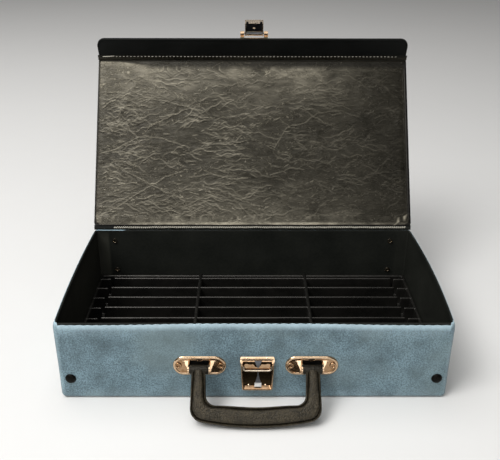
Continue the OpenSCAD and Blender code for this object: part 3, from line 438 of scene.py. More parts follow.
def wrinkle_web():
    """Creases of old vinyl: four noises, each turned and drawn out its own way. A crease is a thin line where
    a noise passes through its middle value, and broad noise lets it fade in and out."""
    tree, source, result = new_group(
        "wrinkle web", [("Vector", VECTOR, None), ("Cells", FLOAT, 150.0), ("Width", FLOAT, 0.03)],
        [("Height", FLOAT), ("Lines", FLOAT)])
    where, lines = source["Vector"], None
    for turn, long_way, factor, share, seed in ((0.10, 0.22, 1.0, 1.0, 0.0), (-0.42, 0.26, 0.70, 1.0, 3.1),
                                                (0.36, 0.26, 0.80, 0.9, 7.7), (0.0, 0.30, 2.6, 0.55, 5.3)):
        moved = turned(tree, where, Rotation=(0, 0, turn), Location=(seed, seed, seed))
        drawn = turned(tree, moved, Scale=(long_way, 1.0, 1.0))
        folds = noise(tree, drawn, times(tree, source["Cells"], factor), 3.0, Distortion=0.3)
        off_middle = maths(tree, "ABSOLUTE", maths(tree, "SUBTRACT", folds, 0.5))
        line = put(tree, "ShaderNodeMapRange", {0: off_middle, 1: 0.0, 2: source["Width"], 3: share, 4: 0.0},
                   interpolation_type="SMOOTHSTEP").outputs[0]
        patch = spread(tree, noise(tree, drawn, 70.0 * factor), 0.42, 0.62, 0.08, 1.0)
        line = times(tree, line, patch)
        lines = line if lines is None else maths(tree, "MAXIMUM", lines, line)
    soft = noise(tree, turned(tree, where, Scale=(0.4, 1.0, 1.0)), 150.0, 4.0)
    tree.links.new(maths(tree, "ADD", lines, times(tree, soft, 1.2)), result["Height"])
    tree.links.new(lines, result["Lines"])
    return tree


def scuffs():
    """Tarnish and fine scratches of pressed metal: cloudy noise, and noise drawn out along one direction."""
    tree, source, result = new_group(
        "scuffs", [("Vector", VECTOR, None), ("Scale", FLOAT, 150.0)],
        [("Tarnish", FLOAT), ("Scratches", FLOAT), ("Height", FLOAT)])
    where, scale = source["Vector"], source["Scale"]
    cloudy = noise(tree, where, scale, 5.0, Roughness=0.65)
    drawn = noise(tree, turned(tree, where, Scale=(0.12, 1.0, 1.0)), times(tree, scale, 14.0))
    scratches = spread(tree, drawn, 0.58, 0.72)
    tree.links.new(spread(tree, cloudy, 0.42, 0.68), result["Tarnish"])
    tree.links.new(scratches, result["Scratches"])
    tree.links.new(maths(tree, "ADD", cloudy, times(tree, scratches, -0.3)), result["Height"])
    return tree


GROUPS = {"hide grain": hide_grain, "mottle": mottle, "wrinkle web": wrinkle_web, "scuffs": scuffs}


def effect(tree, name, inputs):
    """Places a shared node group, building it the first time: its outputs."""
    made = tree.nodes.new("ShaderNodeGroup")
    made.node_tree = bpy.data.node_groups.get(name) or GROUPS[name]()
    for label, value in inputs.items():
        lead(tree, value, made.inputs[label])
    return made.outputs


def mottled(tree, where, scale, fine, low, high):
    """Outputs of the mottle group."""
    return effect(tree, "mottle", {"Vector": where, "Scale": scale, "Fine": fine, "Low": low, "High": high})


def times_colour(colour, *shares):
    """Colour with each channel multiplied by its share, or by the only one."""
    shares = shares * 3 if len(shares) == 1 else shares
    return tuple(channel * share for channel, share in zip(colour, shares))


def start_material(name, metallic=0.0, specular=0.5, tint=(1.0, 1.0, 1.0)):
    """New material: its tree, its Principled shader and its Object coordinates. The tint warms its sheen."""
    made = bpy.data.materials.new(name + "_look")
    made.use_nodes = True
    tree = made.node_tree
    shader = tree.nodes["Principled BSDF"]
    shader.inputs["Metallic"].default_value = metallic
    shader.inputs["Specular IOR Level"].default_value = specular
    shader.inputs["Specular Tint"].default_value = (*tint, 1)
    where = tree.nodes.new("ShaderNodeTexCoord").outputs["Object"]
    return made, tree, shader, where


def wire(tree, shader, colour, roughness, height=None, depth=0.0001, strength=1.0):
    """Leads a colour, a roughness and a bump height to the shader."""
    lead(tree, colour, shader.inputs["Base Color"])
    lead(tree, roughness, shader.inputs["Roughness"])
    if height is not None:
        bump = put(tree, "ShaderNodeBump", {"Height": height, "Distance": depth, "Strength": strength})
        tree.links.new(bump.outputs[0], shader.inputs["Normal"])


def vinyl(name, low, high, faded, edge, roughness, scale=750.0):
    """Grained outer vinyl, faded in broad patches, paler where its edges have rubbed, and paler as painted
    light along the top of the base's rim.
    """
    made, tree, shader, where = start_material(name, specular=0.35)
    tone = mottled(tree, where, 55.0, 9.0, low, high)["Colour"]
    grain = effect(tree, "hide grain", {"Vector": where, "Scale": scale})
    pitted = blend_colours(tree, times(tree, grain["Pits"], 0.6), tone, times_colour(low, 0.5))
    patches = spread(tree, noise(tree, where, 17.0, 3.0), 0.48, 0.68, 0.0, 0.45)
    patched = blend_colours(tree, patches, pitted, faded)
    # Paler where the mesh keeps wear: rubbed edges, and painted light on the top of the base's rim
    rubbed = blend_colours(tree, kept(tree, "wear"), patched, edge)
    wire(tree, shader, rubbed, roughness, grain["Height"], 0.00012, 0.9)
    return made


def blue_vinyl(name):
    """Outer vinyl in the user's colours."""
    look = bpy.context.scene.case_look
    base = tuple(look.vinyl)
    return vinyl(name, times_colour(base, 0.58), times_colour(base, 1.50),
                 times_colour(base, 1.22, 1.08, 0.95), tuple(look.vinyl_edge), 0.52, 760.0)


def black_vinyl(name, low, high, specular):
    """Grained black vinyl, with painted light where its mesh says so."""
    made, tree, shader, where = start_material(name, specular=specular)
    tone = mottled(tree, where, 30.0, 14.0, low, high)
    grain = effect(tree, "hide grain", {"Vector": where, "Scale": 900.0})
    # Painted light: paler where the mesh says so
    painted_fill = blend_colours(tree, kept(tree, "bloom"), tone["Colour"], (0.040, 0.040, 0.032))
    wire(tree, shader, painted_fill, spread(tree, tone["Mask"], 0, 1, 0.42, 0.55), grain["Height"], 0.00008, 0.7)
    return made


def lid_lining(name):
    """Glossy creased vinyl: brown-grey, with painted highlights along its creases and painted shade below
    them, a painted sheen near its ends, black along its welded edges and painted shade along the strip at the
    fold."""
    look = bpy.context.scene.case_look
    base, pale = tuple(look.lid_lining), tuple(look.haze)
    made, tree, shader, where = start_material(name, specular=0.23, tint=(1.0, 0.93, 0.78))
    labels = ("haze", "bloom", "edge", "line", "shadow")
    haze, bloom, edge, line, shadow = (kept(tree, label) for label in labels)
    tone = mottled(tree, where, 26.0, 9.0, times_colour(base, 0.3), times_colour(base, 1.2))
    plan = kept(tree, "plan", "Vector")
    web = effect(tree, "wrinkle web", {"Vector": plan, "Cells": 150.0, "Width": 0.012})
    # Painted highlights along the creases, stronger towards the left where the painted light is
    highlight_strength = spread(tree, bloom, 0, 1, 0.14, 1.0)
    drawn = maths(tree, "MAXIMUM", times(tree, web["Lines"], 0.6), line)
    with_highlights = blend_colours(tree, times(tree, drawn, highlight_strength), tone["Colour"], pale)
    # Painted sheen, streaked along the creases
    streak = spread(tree, web["Height"], 0.35, 1.35, 0.3, 1.9)
    with_painted_sheen = blend_colours(tree, times(tree, haze, streak, clamp=True), with_highlights, pale)
    # Painted shade just below each crease
    crease_shade = times(tree, shadow, maths(tree, "SUBTRACT", 1.0, line, clamp=True))
    crease_shade = times(tree, crease_shade, spread(tree, bloom, 0, 1, 0.2, 1.0))
    shaded = blend_colours(tree, crease_shade, with_painted_sheen, times_colour(base, 0.2))
    # Black along the welded edges, and painted shade along the strip at the fold
    colour = blend_colours(tree, edge, shaded, (0.004, 0.004, 0.0045))
    rough = spread(tree, tone["Mask"], 0, 1, 0.26, 0.38)
    calm = maths(tree, "SUBTRACT", 1.0, edge)
    wire(tree, shader, colour, rough, times(tree, web["Height"], calm), 0.0007, 1.0)
    return made


def tray_plastic(name):
    """Glossy black sheet of the tray."""
    made, tree, shader, where = start_material(name, specular=0.6, tint=(1.0, 0.95, 0.88))
    tone = mottled(tree, where, 40.0, 6.0, (0.0055, 0.0055, 0.0050), (0.0110, 0.0104, 0.0090))
    rough = spread(tree, tone["Mask"], 0, 1, 0.24, 0.36)
    wire(tree, shader, tone["Colour"], rough, tone["Mask"], 0.0001, 0.5)
    return made


def pebbled_plastic(name, low, high, roughness, scale, depth, specular):
    """Moulded plastic with a pebbled skin, dark where its mesh keeps a groove value: painted shade in the
    handle's grooves, and a darker tone on its barrels.
    """
    made, tree, shader, where = start_material(name, specular=specular, tint=(1.0, 0.93, 0.8))
    tone = mottled(tree, where, 120.0, 6.0, low, high)["Colour"]
    grain = effect(tree, "hide grain", {"Vector": where, "Scale": scale})
    pitted = blend_colours(tree, times(tree, grain["Pits"], 0.75), tone, times_colour(low, 0.2))
    # Painted shade in the handle's grooves; the barrels are darkened through the same value
    colour = blend_colours(tree, kept(tree, "groove"), pitted, (0.0015, 0.0015, 0.001))
    wire(tree, shader, colour, roughness, grain["Height"], depth, 1.0)
    return made


def pressed_metal(name, colour, dull, roughness, scale=110.0):
    """Pressed sheet metal: plated colour, tarnish in patches and fine scratches."""
    made, tree, shader, where = start_material(name, metallic=1.0)
    marks = effect(tree, "scuffs", {"Vector": where, "Scale": scale})
    dulled = maths(tree, "ADD", times(tree, marks["Tarnish"], 0.45), kept(tree, "wear"), clamp=True)
    tone = blend_colours(tree, dulled, colour, dull)
    rough = spread(tree, maths(tree, "ADD", marks["Tarnish"], marks["Scratches"]), 0, 1.4,
                   roughness, roughness + 0.12)
    wire(tree, shader, tone, rough, marks["Height"], 0.00001, 0.10)
    return made


def board(name):
    """Pressed fibre board."""
    made, tree, shader, where = start_material(name, specular=0.2)
    tone = mottled(tree, where, 180.0, 6.0, (0.16, 0.10, 0.055), (0.30, 0.20, 0.12))
    wire(tree, shader, tone["Colour"], 0.85, tone["Mask"], 0.0002, 0.8)
    return made


def thread(name, low, high):
    """Twisted sewing thread: fine slanted bands."""
    made, tree, shader, where = start_material(name, specular=0.4)
    slant = turned(tree, where, Rotation=(0.0, 0.6, 0.6))
    wave = put(tree, "ShaderNodeTexWave", {"Vector": slant, "Scale": 900.0, "Distortion": 1.0})
    bands = wave.outputs["Fac"]
    wire(tree, shader, blend_colours(tree, bands, low, high), 0.5, bands, 0.0001, 0.6)
    return made


def floor_paint(name):
    """Pale floor with a very faint unevenness."""
    made, tree, shader, where = start_material(name, specular=0.2)
    base = tuple(bpy.context.scene.case_stage.floor)
    wire(tree, shader, mottled(tree, where, 3.0, 6.0, times_colour(base, 0.985), base)["Colour"], 0.75)
    return made


# Each finish: the function that builds it, and what it is told after the name
FINISHES = {
    "blue_vinyl": (blue_vinyl,),
    "under_vinyl": (vinyl, (0.030, 0.040, 0.048), (0.055, 0.070, 0.080), (0.05, 0.06, 0.06),
                    (0.10, 0.12, 0.14), 0.65),
    "black_lining": (black_vinyl, (0.0085, 0.0095, 0.0080), (0.0165, 0.0175, 0.0145), 0.12),
    # Darker copy of the black lining for the flap, which faces down: painted shade
    "flap_black": (black_vinyl, (0.0035, 0.0040, 0.0036), (0.0062, 0.0066, 0.0060), 0.07),
    "lid_lining": (lid_lining,),
    "tray_plastic": (tray_plastic,),
    "grip_plastic": (pebbled_plastic, (0.012, 0.010, 0.006), (0.066, 0.053, 0.033),
                     0.42, 800.0, 0.0004, 0.30),
    "black_plastic": (pebbled_plastic, (0.003, 0.003, 0.003), (0.006, 0.006, 0.005),
                      0.30, 700.0, 0.00004, 0.08),
    "brass_plate": (pressed_metal, (0.68, 0.49, 0.32), (0.29, 0.165, 0.08), 0.17),
    "rivet_metal": (pressed_metal, (0.60, 0.50, 0.37), (0.32, 0.25, 0.18), 0.18, 300.0),
    # Pale metal: the hasp's nickel, and a painted highlight on the latch's rib
    "nickel": (pressed_metal, (0.78, 0.66, 0.52), (0.40, 0.32, 0.23), 0.18),
    "steel": (pressed_metal, (0.22, 0.23, 0.25), (0.12, 0.12, 0.13), 0.34, 300.0),
    # Near-white rough steel: painted highlight on the spring's hook
    "bright_steel": (pressed_metal, (0.95, 0.94, 0.90), (0.80, 0.79, 0.75), 0.50, 300.0),
    # Near-black brass: painted shade in the catch's recess
    "dark_brass": (pressed_metal, (0.050, 0.034, 0.018), (0.016, 0.011, 0.007), 0.22),
    # Near-black metal inside the hasp: painted shade
    "dark_steel": (pressed_metal, (0.030, 0.030, 0.032), (0.010, 0.010, 0.010), 0.40, 300.0),
    "board": (board,),
    # Thread colours, pale in part as painted highlights on the stitches
    "pale_thread": (thread, (0.36, 0.45, 0.48), (0.56, 0.66, 0.70)),
    "cream_thread": (thread, (0.24, 0.22, 0.18), (0.62, 0.59, 0.50)),
    "floor_paint": (floor_paint,),
}


def material(name):
    """Material by its name, built the first time it is asked for."""
    build, *values = FINISHES[name]
    return bpy.data.materials.get(name + "_look") or build(name, *values)


# Sizes and colours that a user would change

class CaseLook(bpy.types.PropertyGroup):
    vinyl: bpy.props.FloatVectorProperty(
        name="Vinyl", description="Colour of the outer vinyl", subtype="COLOR", size=3,
        default=(0.150, 0.229, 0.267), min=0, max=1)
    # Also the colour of the painted light along the top of the base's rim
    vinyl_edge: bpy.props.FloatVectorProperty(
        name="Vinyl edge", description="Colour of the vinyl where its edges have rubbed", subtype="COLOR",
        size=3, default=(0.47, 0.62, 0.69), min=0, max=1)
    lid_lining: bpy.props.FloatVectorProperty(
        name="Lid lining", description="Colour of the creased lining of the lid", subtype="COLOR", size=3,
        default=(0.015, 0.0135, 0.0095), min=0, max=1)
    # Colour of the painted sheen of the lid lining and of the painted highlights along its creases
    haze: bpy.props.FloatVectorProperty(
        name="Haze", description="Colour of the dull bloom at the ends of the lid lining", subtype="COLOR",
        size=3, default=(0.42, 0.38, 0.29), min=0, max=1)


class CaseSizes(bpy.types.PropertyGroup):
    bow_left: bpy.props.FloatProperty(
        name="Left bow", description="How far the left side bows out at its rim", default=0.0024,
        unit="LENGTH")
    bow_right: bpy.props.FloatProperty(
        name="Right bow", description="How far the right side bows out at its rim", default=0.004,
        unit="LENGTH")
    shoulder: bpy.props.FloatProperty(
        name="Shoulder", description="Height of the rounded shoulder below the rim", default=0.0074,
        unit="LENGTH")
    shoulder_depth: bpy.props.FloatProperty(
        name="Shoulder depth", description="How far the rounded shoulder draws in at the rim",
        default=0.002, unit="LENGTH")
    rim_pitch: bpy.props.FloatProperty(
        name="Rim stitch", description="Distance between the stitches along the front rim", default=0.0075,
        unit="LENGTH")
    hinge_pitch: bpy.props.FloatProperty(
        name="Hinge stitch", description="Distance between the stitches along the rear rim", default=0.0023,
        unit="LENGTH")
    fold_pitch: bpy.props.FloatProperty(
        name="Fold stitch", description="Distance between the stitches along the flap's fold", default=0.0041,
        unit="LENGTH")


class CaseStage(bpy.types.PropertyGroup):
    floor: bpy.props.FloatVectorProperty(
        name="Floor", description="Colour of the floor", subtype="COLOR", size=3,
        default=(0.80, 0.79, 0.77), min=0, max=1)
    key_power: bpy.props.FloatProperty(
        name="Key lamp", description="Power of the lamp at the front left", default=26.0, unit="POWER")
    top_power: bpy.props.FloatProperty(
        name="Top lamp", description="Power of the lamp overhead", default=42.0, unit="POWER")
    front_power: bpy.props.FloatProperty(
        name="Front lamp", description="Power of the low lamp in front", default=12.0, unit="POWER")
    sky: bpy.props.FloatProperty(
        name="Room light", description="Strength of the light from all round", default=0.20, min=0)
    lens: bpy.props.FloatProperty(
        name="Lens", description="Focal length of the camera in millimetres", default=50.92)
    pitch: bpy.props.FloatProperty(
        name="Pitch", description="Angle that the camera looks down", default=math.radians(25.64),
        subtype="ANGLE")
    yaw: bpy.props.FloatProperty(
        name="Yaw", description="Angle that the camera looks to the right", default=math.radians(0.30),
        subtype="ANGLE")
    roll: bpy.props.FloatProperty(
        name="Roll", description="Angle that the camera's right side is tilted up",
        default=math.radians(0.16), subtype="ANGLE")
    place: bpy.props.FloatVectorProperty(
        name="Camera place", description="Place of the camera", subtype="TRANSLATION", unit="LENGTH", size=3,
        default=(-0.0067, -0.6205, 0.4239))


# The base: one section carried round the case

HEM = 14.0  # width of the vinyl that is turned under the base
FOOT_Z = box("bottom_cover")[1][2]
WALL_Z = box("bottom_board")[1][2]
FOOT_R = WALL_Z - FOOT_Z
PANEL = HALF_W - box("tray")[1][0] - 0.3  # thickness of a wall with its lining
LINING_LOW = WALL_Z + 0.6
CORNER_R = 5.0  # upright corners of the base, in plan
INNER_R = 1.1  # inner edge of the rim
SKIN = 0.5  # thickness of the vinyl
EDGE_ON_FRONT, EDGE_ON_SIDE = 80.55, 79.4  # heights at which the blue vinyl ends below the rim
CORNER_TUCK = 7.5  # length of each side wall over which the vinyl climbs to the tuck of the front corner
COVERED_REAR = -140  # left of this place the blue vinyl covers the top of the rear rim too
DIAGONAL = 0.7071  # both parts of a direction halfway between two sides


def rim_path():
    """Section of the base as inset and height: hem, rounded foot, upright wall, a quarter ellipse for the
    shoulder, a flat top, a quarter circle inside it and the inner wall down to the floor. Also the number of
    the last point of each part."""
    sizes = bpy.context.scene.case_sizes
    tall, deep = sizes.shoulder / MM, sizes.shoulder_depth / MM
    top = HEIGHT - 0.1
    t = np.linspace(0, math.pi / 2, 24)
    parts = [
        [(HEM, FOOT_Z), (FOOT_R, FOOT_Z)],
        list(zip(FOOT_R * (1 - np.sin(t)), WALL_Z - FOOT_R * np.cos(t)))[1:],
        [(0, z) for z in np.linspace(WALL_Z, top - tall, 20)[1:]],
        list(zip(deep * (1 - np.cos(t)), top - tall * (1 - np.sin(t))))[1:],
        [(PANEL - INNER_R, top)],
        list(zip(PANEL - INNER_R * (1 - np.sin(t)), top - INNER_R * (1 - np.cos(t))))[1:],
        [(PANEL, z) for z in np.linspace(top - INNER_R, LINING_LOW, 20)[1:]],
    ]
    points = np.array([p for part in parts for p in part], float)
    marks = np.cumsum([len(part) for part in parts]) - 1
    return points, marks


def outline(width, depth, radius, step, side_step):
    """Stations round a rectangle with round corners, anticlockwise from the front left: places and outward
    directions, even along the sides and along the arcs."""
    hw, hd = width / 2 - radius, depth / 2 - radius
    arc = 12
    places, ways = [], []
    runs = [((-hw, -hd), (hw, -hd), -90, step), ((hw, -hd), (hw, hd), 0, side_step),
            ((hw, hd), (-hw, hd), 90, step), ((-hw, hd), (-hw, -hd), 180, side_step)]
    for start, end, face, pace in runs:
        length = math.dist(start, end)
        t = np.linspace(0, 1, int(length / pace) + 1)[:, None]
        way = np.array([math.cos(math.radians(face)), math.sin(math.radians(face))])
        places.append(np.array(start) * (1 - t) + np.array(end) * t + way * radius)
        ways.append(np.repeat(way[None], len(t), 0))
        turn = np.radians(face + 90 * np.arange(1, arc) / arc)
        arc_way = unit(turn)
        places.append(np.array(end) + arc_way * radius)
        ways.append(arc_way)
    return np.concatenate(places), np.concatenate(ways)


def bowed(points):
    """Side walls bow outwards: the shift grows with the height to the power 1.5 and fades towards the corners
    as one less the square of the distance from the middle."""
    sizes = bpy.context.scene.case_sizes
    x, y, z = points[..., 0], points[..., 1], points[..., 2]
    reach = np.where(x < 0, -sizes.bow_left, sizes.bow_right) / MM
    near = smooth((np.abs(x) - HALF_W + 30) / 20)
    rise = np.clip(z / HEIGHT, 0, 1) ** 1.5 * np.clip(1 - (y / HALF_D) ** 2, 0, 1)
    moved = points.copy()
    moved[..., 0] += reach * rise * near
    return moved


def sunk_ends(x):
    """How much lower the vinyl's edge and its seam lie on the front, away from the middle."""
    return 1.35 * smooth((np.abs(x) - 40) / 100)


class Rim:
    """The base's section set round its outline. Lengths are measured along the section: hem, foot, wall,
    shoulder, top, inner and end are those at which its parts end."""

    def __init__(self, offset=0.0, step=1.25):
        points, marks = rim_path()
        self.length = np.concatenate([[0], np.cumsum(np.linalg.norm(np.diff(points, axis=0), axis=1))])
        # Outwards is less inset on the wall and more height on the top
        self.section = points + offset * leftwards(points)
        self.hem, self.foot, self.wall, self.shoulder, self.top, self.inner, self.end = self.length[marks]
        self.places, self.ways = outline(WIDTH, DEPTH, CORNER_R, step, 5.0)

    def at(self, length):
        """Points for each station at its own lengths along the section."""
        inset = np.interp(length, self.length, self.section[:, 0])
        z = np.interp(length, self.length, self.section[:, 1])
        round_way = self.places[:, None] - self.ways[:, None] * inset[..., None]
        limit = np.stack([HALF_W - inset, HALF_D - inset], -1)
        square_way = np.clip(self.places[:, None], -limit, limit)
        flat = np.where((inset > CORNER_R)[..., None], square_way, round_way)
        return bowed(np.concatenate([flat, z[..., None]], -1))

    def outer_wall(self):
        """Number of points on the section up to its highest."""
        return int(np.argmax(self.section[:, 1]))

    def height_at(self, z):
        """Length along the section at which the outer wall reaches a height."""
        upto = self.outer_wall() + 1
        return np.interp(z, self.section[:upto, 1], self.length[:upto])

    def vinyl_end(self):
        """Length at which the blue vinyl ends at each station: in shallow scallops below the front rim, lower
        towards its ends, over the front corners in a tuck, and at the top of the rear rim."""
        pitch = bpy.context.scene.case_sizes.rim_pitch / MM
        x, y = self.places.T
        across, back = self.ways.T
        scallop = 0.42 * (np.abs(np.sin(math.pi * x / pitch)) - 0.6)
        front = self.height_at(EDGE_ON_FRONT - sunk_ends(x) + scallop)
        side = self.height_at(EDGE_ON_SIDE)
        tuck = self.shoulder + 0.6
        covered = smooth((COVERED_REAR - x) / 5)
        rear = self.shoulder - 0.8 + covered * (self.top - self.shoulder + 1.6)
        straight = 0.999
        end = np.where(back < -straight, front, side)
        front_corner = (back < -0.01) & (back > -straight)
        turned_by = np.degrees(np.arctan2(np.abs(across), -back))
        end = np.where(front_corner, front + (tuck - front) * smooth(turned_by / 14), end)
        climb = CORNER_TUCK - HALF_D - y
        along_side = (np.abs(across) > straight) & (climb > 0)
        end = np.where(along_side, side + (tuck - side) * smooth(climb / 1.5), end)
        return np.where(back > DIAGONAL, rear, end)


def wrap_base():
    """Blue vinyl of the base: the section from the hem to the end of the vinyl, with a faint unevenness."""
    rim = Rim()
    end = rim.vinyl_end()[:, None]
    foot = np.linspace(rim.hem, rim.foot, 8)
    wall = np.linspace(rim.foot, rim.wall, 9)[1:]
    fixed = np.concatenate([[0.0], foot, wall])
    rise = np.linspace(0, 1, 22)[1:]
    length = np.concatenate([np.repeat(fixed[None], len(end), 0), wall[-1] + (end - wall[-1]) * rise], 1)
    points = rim.at(length)
    x, y, z = points[..., 0], points[..., 1], points[..., 2]
    along = np.where(np.abs(rim.ways[:, :1]) > 0.7, y, x)
    uneven = 0.22 * cloud(along, z, 31, 5) * smooth((z - 4) / 12) * smooth((80 - z) / 10)
    points[..., :2] += uneven[..., None] * rim.ways[:, None]
    patch = 0.5 + 0.5 * cloud(along, z, 9, 11)
    # Paler band below the end of the vinyl: painted light on the rim that faces up, and rubbed wear; the
    # corners and the foot get rubbed wear only
    wear = 0.95 * (1 - smooth((end - length + 0.5) / 8.5)) * (0.75 + 0.25 * patch)
    wear *= np.where(rim.ways[:, 1:] > DIAGONAL, 0.5, 1.0)
    on_corner = np.abs(rim.ways[:, :1] * rim.ways[:, 1:]) * 2
    near_foot = smooth((7.5 - z) / 5)
    wear = np.maximum.reduce([wear, 0.45 * on_corner * patch, 0.35 * near_foot * patch])
    cover = make("blue_cover", [grid(points, wrap_rows=True)], "blue_vinyl", away=(0, 0, HEIGHT / 2),
                 fade={"wear": wear.ravel()}, sharp=60)
    thicken(cover, SKIN)
    return settle(cover, "base", "blue_vinyl", "base_cover")


def line_base():
    """Black lining of the base: the same section, a little further in, from under the vinyl's end over the
    rim and down to the tray."""
    rim = Rim(offset=-0.42, step=2.5)
    start = (rim.vinyl_end() - 1.6)[:, None]
    rise = np.linspace(0, 1, 26)[:-1]
    over = np.full_like(start, rim.inner + 1.0)
    down = np.linspace(0, 1, 10)
    length = np.concatenate([start + (over - start) * rise, over + (rim.end - over) * down], 1)
    points = rim.at(length)
    x, y, z = points[..., 0], points[..., 1], points[..., 2]
    inner = smooth((HEIGHT - 1.5 - z) / 2) * (length > rim.top)
    # Painted light on the inner side walls: strong on the left wall, which faces away from the key lamp, and
    # weak on the right
    near_end = HALF_W - 16
    painted_fill = 0.9 * (x < -near_end) + 0.17 * (x > near_end)
    bloom = inner * painted_fill * (0.85 + 0.15 * cloud(y, z, 14, 84))
    lining = make("black_base_lining", [grid(points, wrap_rows=True)], "black_lining",
                  away=(0, 0, HEIGHT / 2), sharp=60, fade={"bloom": bloom.ravel()})
    # On top of the rim the lining faces up
    highest = max(lining.data.polygons, key=lambda face: face.center.z)
    if highest.normal.z <= 0:
        lining.data.flip_normals()
    thicken(lining, 0.35)
    return settle(lining, "base", "black_lining", "base_lining")


def fit_boards():
    """Boards of the base: outer side under the vinyl, top under the lining, inner side upright."""
    rim = Rim(offset=-0.75, step=8.0)
    outer = np.concatenate([np.linspace(rim.foot + 0.8, rim.wall, 8),
                            np.linspace(rim.wall, rim.shoulder + 0.6, 12)[1:]])
    inner = rim.end - np.linspace(2.0, rim.end - rim.inner - 1.5, 6)
    section = np.repeat(np.concatenate([outer, inner])[None], len(rim.places), 0)
    points = rim.at(section)
    across, back = rim.ways.T
    longer, shorter = DIAGONAL + 0.0001, DIAGONAL - 0.0001
    for node, chosen in (("front_board", back < -longer), ("right_board", across > shorter),
                         ("rear_board", back > longer), ("left_board", across < -shorter)):
        pick = np.flatnonzero(chosen)
        gap = np.flatnonzero(np.diff(pick) > 1)
        if len(gap):
            pick = np.roll(pick, -(gap[0] + 1))
        piece = make(node + "_wood", [tube(points[pick])], "board")
        settle(piece, "base", "board", node)


# The tray

def tray_lines(centres, offsets, low, high):
    """Grid lines round each centre at the given offsets both ways, inside the limits."""
    lines = {round(float(c + side * o), 3) for c in centres for o in offsets for side in (-1, 1)}
    lines |= {round(low, 3), round(high, 3)}
    return np.array(sorted(v for v in lines if low - 1e-6 <= v <= high + 1e-6))


def mould_tray():
    """Tray as a height over the plan: each rib, divider and wall is a rounded ridge whose height depends on
    the distance to its centre line, and the highest one counts."""
    low, high = box("tray")
    floor_top = low[2] + 1.2
    rib_h, half_top, half_foot = high[2] - 0.3 - floor_top, 1.1, 1.6
    half_x, half_y = high[0], high[1]
    wall, pitch, rows, divider = 2.6, 20.6, 9, 59.4
    rib_y = (np.arange(rows) - (rows - 1) / 2) * pitch
    stub_start = half_x - wall - 10.5
    rib_end = stub_start - 2.7
    # Places of grid lines: their distances from a rib, a wall, a divider and the end of a rib
    by_rib = [0, 0.3, 0.6, 0.85, 1.0, 1.1, 1.16, 1.35, 1.6, 1.9, 2.6, 4.0]
    by_wall = [0, 0.25, 0.7, 1.3, 1.9, 2.35, 2.6, 2.75, 3.1, 3.6, 5.0]
    by_divider = [0, 0.6, 1.2, 1.7, 1.9, 2.0, 2.08, 2.6, 3.05, 3.4, 4.2, 6.0]
    by_end = [0, 0.12, 0.4, 0.8, 1.2, 2.0]
    least = 0.05
    ys = tray_lines(rib_y, by_rib, -half_y, half_y)
    ys = np.union1d(ys, tray_lines([-half_y, half_y], by_wall, -half_y, half_y))
    ys = np.union1d(ys, rib_y[:-1] + pitch / 2)
    xs = np.linspace(-150, 150, 41)
    for spot, offsets in ((divider, by_divider), (rib_end, by_end), (stub_start, by_end), (half_x, by_wall)):
        xs = np.union1d(xs, tray_lines([-spot, spot], offsets, -half_x, half_x))
    x, y = np.meshgrid(apart(xs, least), apart(ys, least), indexing="ij")

    def ridge(distance, top, foot, height):
        """Height of a ridge: a round cap, straight slopes to its foot and a small fillet round it"""
        cap = height - top + np.sqrt(np.clip(top ** 2 - np.minimum(distance, top) ** 2, 0, None))
        slope = (height - top) * np.clip((foot - distance) / (foot - top), 0, 1)
        fillet = 0.8 * np.clip((foot + 1.0 - distance) / 1.0, 0, 1) ** 2
        return np.where(distance <= top, cap, np.maximum(slope, fillet))

    to_rib = np.min(np.abs(y[..., None] - rib_y), -1)
    past = np.clip(np.abs(x) - (rib_end - half_top), 0, None)
    long_ribs = ridge(np.hypot(to_rib, past), half_top, half_foot, rib_h)
    short = np.clip(stub_start + half_top - np.abs(x), 0, None)
    stubs = ridge(np.hypot(to_rib, short), half_top, half_foot, rib_h - 1.2)
    dividers = ridge(np.abs(np.abs(x) - divider), 2.0, 3.05, rib_h + 0.3)
    edge = np.minimum(half_x - np.abs(x), half_y - np.abs(y))
    outer = ridge(np.clip(edge - wall / 2, 0, None), wall / 2, 1.9, rib_h - 1.5)
    sag = 0.12 * cloud(x, y, 40, 3)
    z = floor_top + np.maximum.reduce([long_ribs, stubs, dividers, outer]) + sag
    top = np.stack([x, y, np.minimum(z, high[2])], -1)
    bottom = np.stack([x, y, np.full_like(x, low[2])], -1)
    tray = make("moulded_tray", [slab(top, bottom)], "tray_plastic", sharp=50)
    return settle(tray, "base", "tray_plastic", "tray")


# Lid and flap: panels with their own outlines

